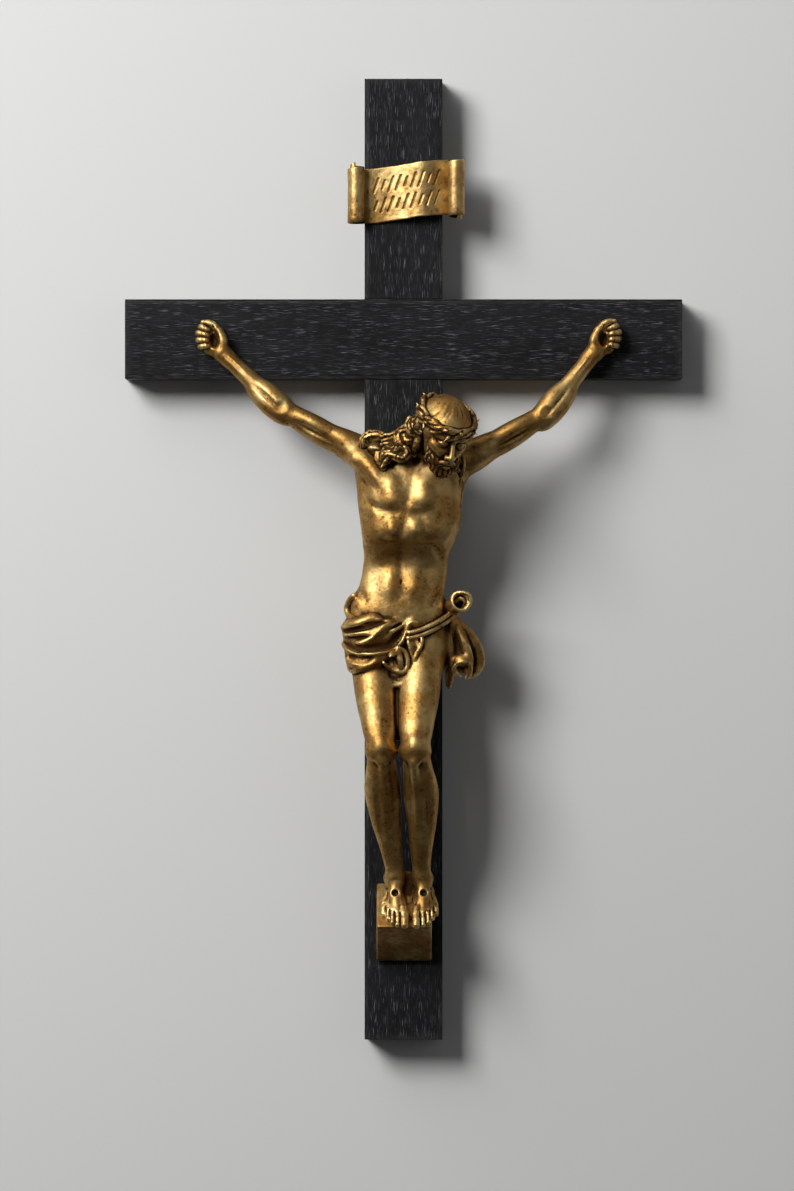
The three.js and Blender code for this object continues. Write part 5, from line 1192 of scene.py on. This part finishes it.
def board(name, length, width, depth, slot, slot_in_front, place):
    """A board lofted along its length, with the half-lap's slot and soft, slightly worn edges.

    length, width and depth are (low, high) pairs; place turns (along, across, y) into a point.
    """
    worn = BOARD_WORN
    count = int((length[1] - length[0]) / BOARD_STEP)
    stations = [length[0] + (length[1] - length[0]) * i / count for i in range(count + 1)]
    stations = [s for s in stations if min(abs(s - slot[0]), abs(s - slot[1])) > BOARD_STEP / 2]
    # Rings of (place along, inset, whether it lies in the slot)
    rings = [(s, 0, slot[0] < s < slot[1]) for s in stations if length[0] + worn < s < length[1] - worn]
    rings += [(s, 0, inner) for s in slot for inner in (False, True)]
    for i in range(ROUNDS):
        angle = math.pi / 2 * i / ROUNDS
        end, inset = worn * (1 - math.cos(angle)), worn * (1 - math.sin(angle))
        rings += [(length[0] + end, inset, False), (length[1] - end, inset, False)]
    rings.sort(key=lambda r: (r[0], r[2] if r[0] == slot[0] else not r[2]))
    middle_depth = (depth[0] + depth[1]) / 2
    joint = middle_depth if slot_in_front else middle_depth - JOINT_GAP
    places, edges = [], []
    for s, inset, inner in rings:
        y0, y1 = depth
        if inner and slot_in_front:
            y0 = joint
        if inner and not slot_in_front:
            y1 = joint
        ring = []
        left, right = width
        corners = ((left, y0, 1, 1), (right, y0, -1, 1), (right, y1, -1, -1), (left, y1, 1, -1))
        for c, (across, y, da, dy) in enumerate(corners):
            wear = worn * (1 + 0.7 * noise.noise(Vector((s * 60, c * 7.3, len(name)))))
            wear = max(wear, inset + 0.05 * MM)
            turn = range(ROUNDS + 1) if c % 2 == 0 else range(ROUNDS, -1, -1)
            for i in turn:
                angle = math.pi / 2 * i / ROUNDS
                ring.append((across + da * (inset + (wear - inset) * (1 - math.sin(angle))),
                             y + dy * (inset + (wear - inset) * (1 - math.cos(angle))), 1.0))
            past = corners[(c + 1) % 4]
            for share in (0.06, 0.5, 0.94):
                ring.append((across + (past[0] - across) * share, y + (past[1] - y) * share, 0.0))
        # The straight points are pulled in with the end's rounding.
        at_end = s < length[0] + worn or s > length[1] - worn
        for across, y, edge in ring:
            if edge == 0.0:
                across = min(max(across, left + inset), right - inset)
                y = min(max(y, y0 + inset), y1 - inset)
            places.append(place(s, across, y))
            edges.append(1.0 if at_end else edge)
    made = make_object(name, places, loft(len(rings), len(places) // len(rings)), smooth=False)
    attribute(made.data, "edge", edges)
    return made


def build_boards():
    bar = (CROSSBAR_LOW.z - JOINT_GAP, CROSSBAR_HIGH.z + JOINT_GAP)
    post = (UPRIGHT_LOW.x - JOINT_GAP, UPRIGHT_HIGH.x + JOINT_GAP)
    upright = board(
        "upright_board", (UPRIGHT_LOW.z, UPRIGHT_HIGH.z), (UPRIGHT_LOW.x, UPRIGHT_HIGH.x),
        (UPRIGHT_LOW.y, UPRIGHT_HIGH.y), bar, True, lambda s, a, y: (a, y, s))
    crossbar = board(
        "crossbar_board", (CROSSBAR_LOW.x, CROSSBAR_HIGH.x), (CROSSBAR_LOW.z, CROSSBAR_HIGH.z),
        (CROSSBAR_LOW.y, CROSSBAR_HIGH.y), post, False, lambda s, a, y: (s, y, a))
    return upright, crossbar


# The scroll: a banner with a roll at each end, drawn in plan as (x, forward) in millimetres

SPAN = 51.5  # between the centre lines of the two rolls
TALL = 28.6
BAND = 1.5
ROLL = 4.2  # radius of a roll's middle line at its foot
CORE = 2.2
BULGE = 6
RISE = 5
TURNS = 1.45  # of each roll
ROLL_STEPS = 66
BANNER_STEPS = 150
SLIP = 3.2  # how far a roll's inner end slips along it
LEVELS = 88
ROWS, COLUMNS = 2, 9
LONG_STROKE, SHORT_STROKE = 7.5, 4.5
STROKE_WIDE, STROKE_DEEP = 0.62, 0.55
STROKE_PITCH = 3.9
STROKE_GAP = 3
SLANT = 0.35


def scroll_line():
    """Points of (x, forward, climb), where climb is how far the wound end slips along its roll."""
    seat = SEAT + BAND / 2

    def roll(side):
        found = []
        for i in range(ROLL_STEPS + 1):
            share = i / ROLL_STEPS
            radius = CORE + (ROLL - CORE) * share ** 0.8
            angle = 2 * math.pi * TURNS * (1 - share)
            x = side * (SPAN / 2 + math.sin(angle) * radius)
            found.append((x, seat + ROLL - math.cos(angle) * radius, -side * SLIP * (1 - share) ** 1.5))
        return found

    banner = []
    for i in range(1, BANNER_STEPS):
        share = i / BANNER_STEPS
        swell = math.sin(math.pi * share ** 1.7) ** 2.6
        banner.append(((share - 0.5) * SPAN, seat + BULGE * swell, 0))
    return np.array(roll(-1) + banner + roll(1)[::-1])


def stroke_places():
    """Middles across and up and half lengths of the shallow strokes, in rows."""
    found = []
    for row in range(ROWS):
        for column in range(COLUMNS):
            x = (column - (COLUMNS - 1) / 2) * STROKE_PITCH
            z = (row - (ROWS - 1) / 2) * (LONG_STROKE + STROKE_GAP)
            found.append((x, z, (SHORT_STROKE if column % 3 == row else LONG_STROKE) / 2))
    return found


STROKES = stroke_places()


def engraved(x, z):
    """Depth of the slanted strokes at a place on the banner."""
    deepest = 0
    for middle, level, half in STROKES:
        across, up = x - middle, z - level
        along = across * math.sin(SLANT) + up * math.cos(SLANT)
        aside = across * math.cos(SLANT) - up * math.sin(SLANT)
        past = max(0, abs(along) - half)
        away = math.hypot(aside, past) / STROKE_WIDE
        if away < 1:
            deepest = max(deepest, STROKE_DEEP * (1 - away ** 2) ** 0.8)
    return deepest


def build_scroll():
    path = scroll_line()
    ahead = np.gradient(path[:, :2], axis=0)
    ahead /= np.linalg.norm(ahead, axis=1)[:, None]
    normal = np.stack([-ahead[:, 1], ahead[:, 0]], 1)
    fine = [TALL * (i / LEVELS - 0.5) for i in range(LEVELS + 1)]
    shift = (SCROLL_HIGH.x + SCROLL_LOW.x) / 2 / MM
    level = (SCROLL_HIGH.z + SCROLL_LOW.z) / 2 / MM
    roof = BAND / 2
    roll_middle = SEAT + roof + ROLL

    def edge_round(middle, start, stop):
        angles = np.linspace(start, stop, 6)
        return [(roof * math.cos(a), middle + 0.5 * math.sin(a)) for a in angles]

    section = [(roof, z) for z in fine[2:-2]] + edge_round(TALL / 2 - 0.5, 0.4, 2.74)
    section += [(-roof, z) for z in fine[-3:2:-6]] + edge_round(0.5 - TALL / 2, 3.54, 5.88)
    places, depths = [], []
    for i, ((x, f, climb), out) in enumerate(zip(path, normal)):
        share = max(-1, min(1, x / (SPAN / 2)))
        rise = RISE / 2 * math.sin(math.pi / 2 * share)
        on_banner = abs(x) < SPAN / 2 - 4 and climb == 0
        thin = 0.55 + 0.45 * min(1, min(i, len(path) - 1 - i) / 4)
        for off, z in section:
            edge = max(0, abs(z) / TALL * 2 - 0.8) / 0.2
            wave = noise.noise(Vector((x * 0.16, z * 0.02, f * 0.2))) * 0.35 * edge
            dent = 0.14 * noise.noise(Vector((x * 0.22, z * 0.22, 5 + f * 0.3)))
            depth = engraved(x, z) if on_banner and off == roof else 0
            reach = off * thin + dent - depth
            px, pf = x + out[0] * reach, f + out[1] * reach
            places.append((px + shift, pf, z + rise + climb + wave + level))
            # Painted shade darkens the back of the banner and the inside of the rolls.
            side = 1 if x > 0 else -1
            inside = math.hypot(px - side * SPAN / 2, pf - roll_middle) < math.hypot(
                x - side * SPAN / 2, f - roll_middle)
            dark = off < 0 if on_banner else inside and abs(x) > SPAN / 2 - ROLL - 1
            # The low base value turns the whole scroll the paler worn colour, a painted highlight; the
            # strokes darken with their depth
            depths.append(0.43 + depth * 0.2 + (0.17 if dark else 0))
    places = np.array(places) * MM
    places[:, 1] = FRONT - np.maximum(places[:, 1], SEAT_GAP)
    made = make_object("inscription_scroll", places, loft(len(path), len(section)))
    attribute(made.data, "hollow", depths)
    attribute(made.data, "broad", np.full(len(places), 0.5))
    return made


# The foot block

BLOCK_FOOT = 4.0  # depth of the block at its lower end
BLOCK_WORN = 1.1
UNDER_SHADE = 0.04


def build_block():
    """A wedge with worn edges, cast a little uneven."""
    top, depth = BLOCK_HIGH.z / MM, (FRONT - BLOCK_LOW.y) / MM
    bottom = BLOCK_LOW.z / MM
    outline = [(SEAT, top), (depth, top - BLOCK_DROP), (BLOCK_FOOT, bottom), (SEAT, bottom)]
    low, high = BLOCK_LOW.x / MM, BLOCK_HIGH.x / MM
    made = bmesh.new()
    rings = []
    for x in (low, high):
        rings.append([made.verts.new((x * MM, FRONT - f * MM, z * MM)) for f, z in outline])
    made.faces.new(rings[0])
    made.faces.new(rings[1][::-1])
    for i in range(4):
        j = (i + 1) % 4
        made.faces.new((rings[0][j], rings[0][i], rings[1][i], rings[1][j]))
    bmesh.ops.recalc_face_normals(made, faces=made.faces)
    bmesh.ops.bevel(made, geom=list(made.edges), offset=BLOCK_WORN * MM, segments=4, profile=0.5,
                    affect="EDGES", clamp_overlap=True)
    bmesh.ops.triangulate(made, faces=[f for f in made.faces if len(f.verts) > 4])
    bmesh.ops.subdivide_edges(made, edges=[e for e in made.edges if e.calc_length() > 6 * MM], cuts=5,
                              use_grid_fill=True)
    for vert in made.verts:
        moved = vert.co + noise.noise_vector(vert.co * 90) * 0.12 * MM
        for axis in range(3):
            moved[axis] = min(max(moved[axis], BLOCK_LOW[axis]), BLOCK_HIGH[axis])
        vert.co = moved
    mesh = bpy.data.meshes.new("wedge_block")
    made.to_mesh(mesh)
    made.free()
    mesh.polygons.foreach_set("use_smooth", [True] * len(mesh.polygons))
    piece = link("wedge_block", mesh)
    # The face that looks down gets painted shade.
    under = [0.5 + UNDER_SHADE * min(1, max(0, -1.6 * vert.normal.z)) for vert in mesh.vertices]
    attribute(mesh, "hollow", under)
    attribute(mesh, "broad", np.full(len(mesh.vertices), 0.5))
    return piece


# Materials

class Nodes:
    """A short way to write a material's nodes."""

    def __init__(self, name):
        self.material = bpy.data.materials.new(name)
        self.material.use_nodes = True
        self.tree = self.material.node_tree
        self.shader = self.tree.nodes["Principled BSDF"]

    def new(self, kind, inputs=None, **settings):
        made = self.tree.nodes.new(kind)
        for key, value in settings.items():
            setattr(made, key, value)
        for key, value in (inputs or {}).items():
            self.put(value, made.inputs[key])
        return made

    def put(self, value, socket):
        if isinstance(value, bpy.types.NodeSocket):
            self.tree.links.new(value, socket)
        else:
            socket.default_value = value

    def math(self, operation, a, b=0.0, clamp=False):
        made = self.new("ShaderNodeMath", {0: a, 1: b}, operation=operation, use_clamp=clamp)
        return made.outputs[0]

    def span(self, value, low, high, to_low=0.0, to_high=1.0):
        made = self.new("ShaderNodeMapRange", {"Value": value, "From Min": low, "From Max": high,
                                               "To Min": to_low, "To Max": to_high})
        return made.outputs[0]

    def mix(self, share, a, b):
        made = self.new("ShaderNodeMix", data_type="RGBA")
        for value, index in ((share, 0), (a, 6), (b, 7)):
            self.put(value, made.inputs[index])
        return made.outputs[2]

    def place(self, scale):
        """Object coordinates in millimetres, times a scale for each axis."""
        where = self.new("ShaderNodeTexCoord").outputs["Object"]
        sized = [1000 * s for s in scale]
        return self.new("ShaderNodeVectorMath", {0: where, 1: sized}, operation="MULTIPLY").outputs[0]

    def noise(self, place, scale, detail, rough):
        inputs = {"Vector": place, "Scale": scale, "Detail": detail, "Roughness": rough}
        return self.new("ShaderNodeTexNoise", inputs).outputs[0]

    def attribute(self, name):
        return self.new("ShaderNodeAttribute", attribute_name=name).outputs["Fac"]

    def bump(self, height, distance, strength, below=None):
        inputs = {"Height": height, "Distance": distance, "Strength": strength}
        if below is not None:
            inputs["Normal"] = below
        return self.new("ShaderNodeBump", inputs).outputs[0]


# The paler brass colour stands for wear and also serves as a painted highlight on raised forms
BRASS_BRIGHT = (0.74, 0.55, 0.24, 1)
BRASS_DULL = (0.36, 0.195, 0.054, 1)
# The brown-black of patina, also used for painted shade
PATINA_AND_SHADE = (0.052, 0.025, 0.009, 1)
OAK_DARK = (0.004, 0.004, 0.0045, 1)
OAK_PALE = (0.009, 0.009, 0.01, 1)
OAK_FIBRE = (0.016, 0.0165, 0.018, 1)
OAK_PORE = (0.13, 0.134, 0.145, 1)
OAK_WORN = (0.045, 0.043, 0.042, 1)
STEEL_CLEAN = (0.42, 0.42, 0.41, 1)
STEEL_SPOT = (0.2, 0.19, 0.18, 1)
PLASTER = (0.66, 0.66, 0.645, 1)


def brass(name):
    """Cast brass: paler where it stands out, partly wear and partly a painted highlight; brown-black in its
    recesses from patina, and darker still with painted shade where much metal stands round and at chosen
    spots.
    """
    made = Nodes(name)
    where = made.place((1, 1, 1))
    patches = made.noise(where, 0.07, 4, 0.6)
    uneven = made.noise(where, 0.16, 2, 0.5)
    mottle = made.noise(where, 0.5, 4, 0.65)
    grain = made.noise(where, 2.2, 3, 0.6)
    hollow = made.span(made.attribute("hollow"), 0.5, 0.6)
    # The broad measure adds painted shade on top of the patina of the fine hollows
    broad = made.span(made.attribute("broad"), 0.5, 0.66)
    depth = made.math("MAXIMUM", hollow, made.math("MULTIPLY", broad, 0.85))
    # Raised places turn paler: partly wear, partly a painted highlight
    ridge = made.span(made.attribute("hollow"), 0.46, 0.36)
    ragged = made.math("ADD", depth, made.span(mottle, 0.3, 0.7, -0.2, 0.2))
    # How far the colour turns brown-black: patina in the hollows and painted shade from the broad measure
    # and the spots
    shade_and_patina = made.span(ragged, 0.15, 0.75)
    # Wear and painted highlight, broken up by random patches
    worn = made.math("ADD", ridge, made.span(patches, 0.38, 0.62, -0.25, 0.45), clamp=True)
    colour = made.mix(worn, BRASS_DULL, BRASS_BRIGHT)
    stain = made.math("MULTIPLY", made.span(mottle, 0.46, 0.33), made.span(patches, 0.66, 0.42))
    colour = made.mix(made.math("MULTIPLY", stain, 0.85), colour, PATINA_AND_SHADE)
    colour = made.mix(made.span(grain, 0.3, 0.42, 0.4, 0.0), colour, PATINA_AND_SHADE)
    colour = made.mix(shade_and_patina, colour, PATINA_AND_SHADE)
    made.put(colour, made.shader.inputs["Base Color"])
    rough = made.span(mottle, 0.3, 0.7, 0.54, 0.43)
    made.put(made.mix(shade_and_patina, rough, (0.7, 0.7, 0.7, 1)), made.shader.inputs["Roughness"])
    made.shader.inputs["Metallic"].default_value = 1.0
    pits = made.new("ShaderNodeTexVoronoi", {"Vector": where, "Scale": 0.9}).outputs["Distance"]
    pits = made.span(pits, 0.05, 0.16)
    broadly = made.bump(uneven, 0.7 * MM, 0.6)
    low = made.bump(mottle, 0.16 * MM, 0.8, broadly)
    mid = made.bump(grain, 0.05 * MM, 0.8, low)
    made.put(made.bump(pits, 0.05 * MM, 0.7, mid), made.shader.inputs["Normal"])
    return made.material


def oak(name, grain):
    """Blackened open-pored oak; grain is the axis that its fibres run along."""
    made = Nodes(name)

    def stretched(along, across):
        return made.place([along if axis == grain else across for axis in range(3)])

    waves = made.noise(stretched(0.006, 0.05), 1.0, 2, 0.5)
    rings = made.math("SINE", made.math("MULTIPLY", waves, 75.0))
    bands = made.span(rings, -0.2, 1.0)
    pores = made.noise(stretched(0.14, 3.0), 1.0, 2, 0.55)
    streaks = made.math("MULTIPLY", made.span(pores, 0.56, 0.66), made.span(bands, 0, 1, 0.25, 1))
    fibres = made.noise(stretched(0.12, 4.5), 1.0, 2, 0.6)
    shade = made.noise(stretched(0.01, 0.06), 1.0, 3, 0.5)
    base = made.mix(made.span(shade, 0.35, 0.65), OAK_DARK, OAK_PALE)
    base = made.mix(made.span(fibres, 0.5, 0.75, 0, 0.5), base, OAK_FIBRE)
    base = made.mix(streaks, base, OAK_PORE)
    edge = made.math("MULTIPLY", made.attribute("edge"), made.span(pores, 0.4, 0.65))
    base = made.mix(edge, base, OAK_WORN)
    made.put(base, made.shader.inputs["Base Color"])
    made.put(made.span(streaks, 0, 1, 0.5, 0.75), made.shader.inputs["Roughness"])
    made.shader.inputs["Specular IOR Level"].default_value = 0.17
    low = made.bump(fibres, 0.05 * MM, 0.5)
    made.put(made.bump(made.math("MULTIPLY", streaks, -1.0), 0.12 * MM, 0.8, low),
             made.shader.inputs["Normal"])
    return made.material


def steel(name):
    made = Nodes(name)
    where = made.place((1, 1, 1))
    spots = made.noise(where, 1.2, 3, 0.6)
    colour = made.mix(made.span(spots, 0.45, 0.7), STEEL_CLEAN, STEEL_SPOT)
    made.put(colour, made.shader.inputs["Base Color"])
    made.put(made.span(spots, 0.3, 0.7, 0.3, 0.55), made.shader.inputs["Roughness"])
    made.shader.inputs["Metallic"].default_value = 1.0
    made.put(made.bump(spots, 0.02 * MM, 0.5), made.shader.inputs["Normal"])
    return made.material


def plaster():
    """The backdrop: a plain pale wall that shows from its front only."""
    made = Nodes("backdrop")
    made.shader.inputs["Base Color"].default_value = PLASTER
    made.shader.inputs["Roughness"].default_value = 0.9
    clear = made.new("ShaderNodeBsdfTransparent").outputs[0]
    behind = made.new("ShaderNodeNewGeometry").outputs["Backfacing"]
    both = made.new("ShaderNodeMixShader", {0: behind, 1: made.shader.outputs[0], 2: clear})
    output = made.tree.nodes["Material Output"]
    made.put(both.outputs[0], output.inputs["Surface"])
    return made.material


# Stage, camera and lights

def build_stage():
    half = 3.0
    y = UPRIGHT_HIGH.y + 0.5 * MM
    corners = [(-half, y, -half), (half, y, -half), (half, y, half), (-half, y, half)]
    wall = make_object("backdrop", corners, [(0, 1, 2, 3)], smooth=False)
    wall.data.materials.append(plaster())


def build_camera():
    """A long lens from far in front, aimed at the middle of the photo's own frame."""
    distance = 3.0
    seen = 0.6197
    sensor = 36
    camera = bpy.data.cameras.new("camera")
    camera.sensor_width = sensor
    camera.lens = sensor * distance / seen
    camera.clip_end = 20
    eye = link("camera", camera)
    eye.location = (-3.4 * MM, FRONT - distance, -133.4 * MM)
    eye.rotation_euler = (math.radians(90), 0, 0)
    bpy.context.scene.camera = eye


# Square lamps, all aimed at one place: (name, place, size, power)
AIM = (0, 0, -0.1)
LAMPS = (
    ("key", (-1.1, -1.4, 0.85), 0.85, 42),
    ("sky", (-1.6, -1.0, 2.2), 2.2, 32),
    ("fill", (1.6, -1.6, 0.1), 1.4, 2.2),
    ("back", (0.6, 1.6, 0.6), 1.5, 5),
)


def build_lights():
    for name, place, size, power in LAMPS:
        light = bpy.data.lights.new(name, "AREA")
        light.size = size
        light.energy = power
        lamp = link(name, light)
        lamp.location = place
        way = Vector(AIM) - Vector(place)
        lamp.rotation_euler = way.to_track_quat("-Z", "Y").to_euler()
    world = bpy.data.worlds.new("world")
    world.use_nodes = True
    tree = world.node_tree
    background = tree.nodes["Background"]
    background.inputs[0].default_value = (0.8, 0.82, 0.85, 1)
    # Darker from below, as over a floor
    where = tree.nodes.new("ShaderNodeTexCoord")
    parts = tree.nodes.new("ShaderNodeSeparateXYZ")
    strength = tree.nodes.new("ShaderNodeMapRange")
    for key, value in {"From Min": -0.5, "From Max": 0.3, "To Min": 0.03, "To Max": 0.14}.items():
        strength.inputs[key].default_value = value
    tree.links.new(where.outputs["Generated"], parts.inputs[0])
    tree.links.new(parts.outputs["Z"], strength.inputs["Value"])
    tree.links.new(strength.outputs[0], background.inputs[1])
    bpy.context.scene.world = world
    bpy.context.scene.view_settings.view_transform = "Standard"


def finish_piece(piece, material, slot, *nodes):
    piece.data.materials.clear()
    piece.data.materials.append(material)
    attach(piece, "root")
    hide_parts(*nodes)


build_camera()
build_lights()
build_stage()
corpus = build_corpus()
brass_cast = brass("brass_cast")
finish_piece(corpus, brass_cast, "cast_brass", "corpus")
upright, crossbar = build_boards()
finish_piece(upright, oak("oak_upright", 2), "oak", "upright")
finish_piece(crossbar, oak("oak_crossbar", 0), "oak", "crossbar")
finish_piece(build_scroll(), brass_cast, "cast_brass", "titulus")
finish_piece(build_block(), brass_cast, "cast_brass", "foot_block")
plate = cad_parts["hanger"].data.materials
plate.clear()
plate.append(steel("steel_plate"))
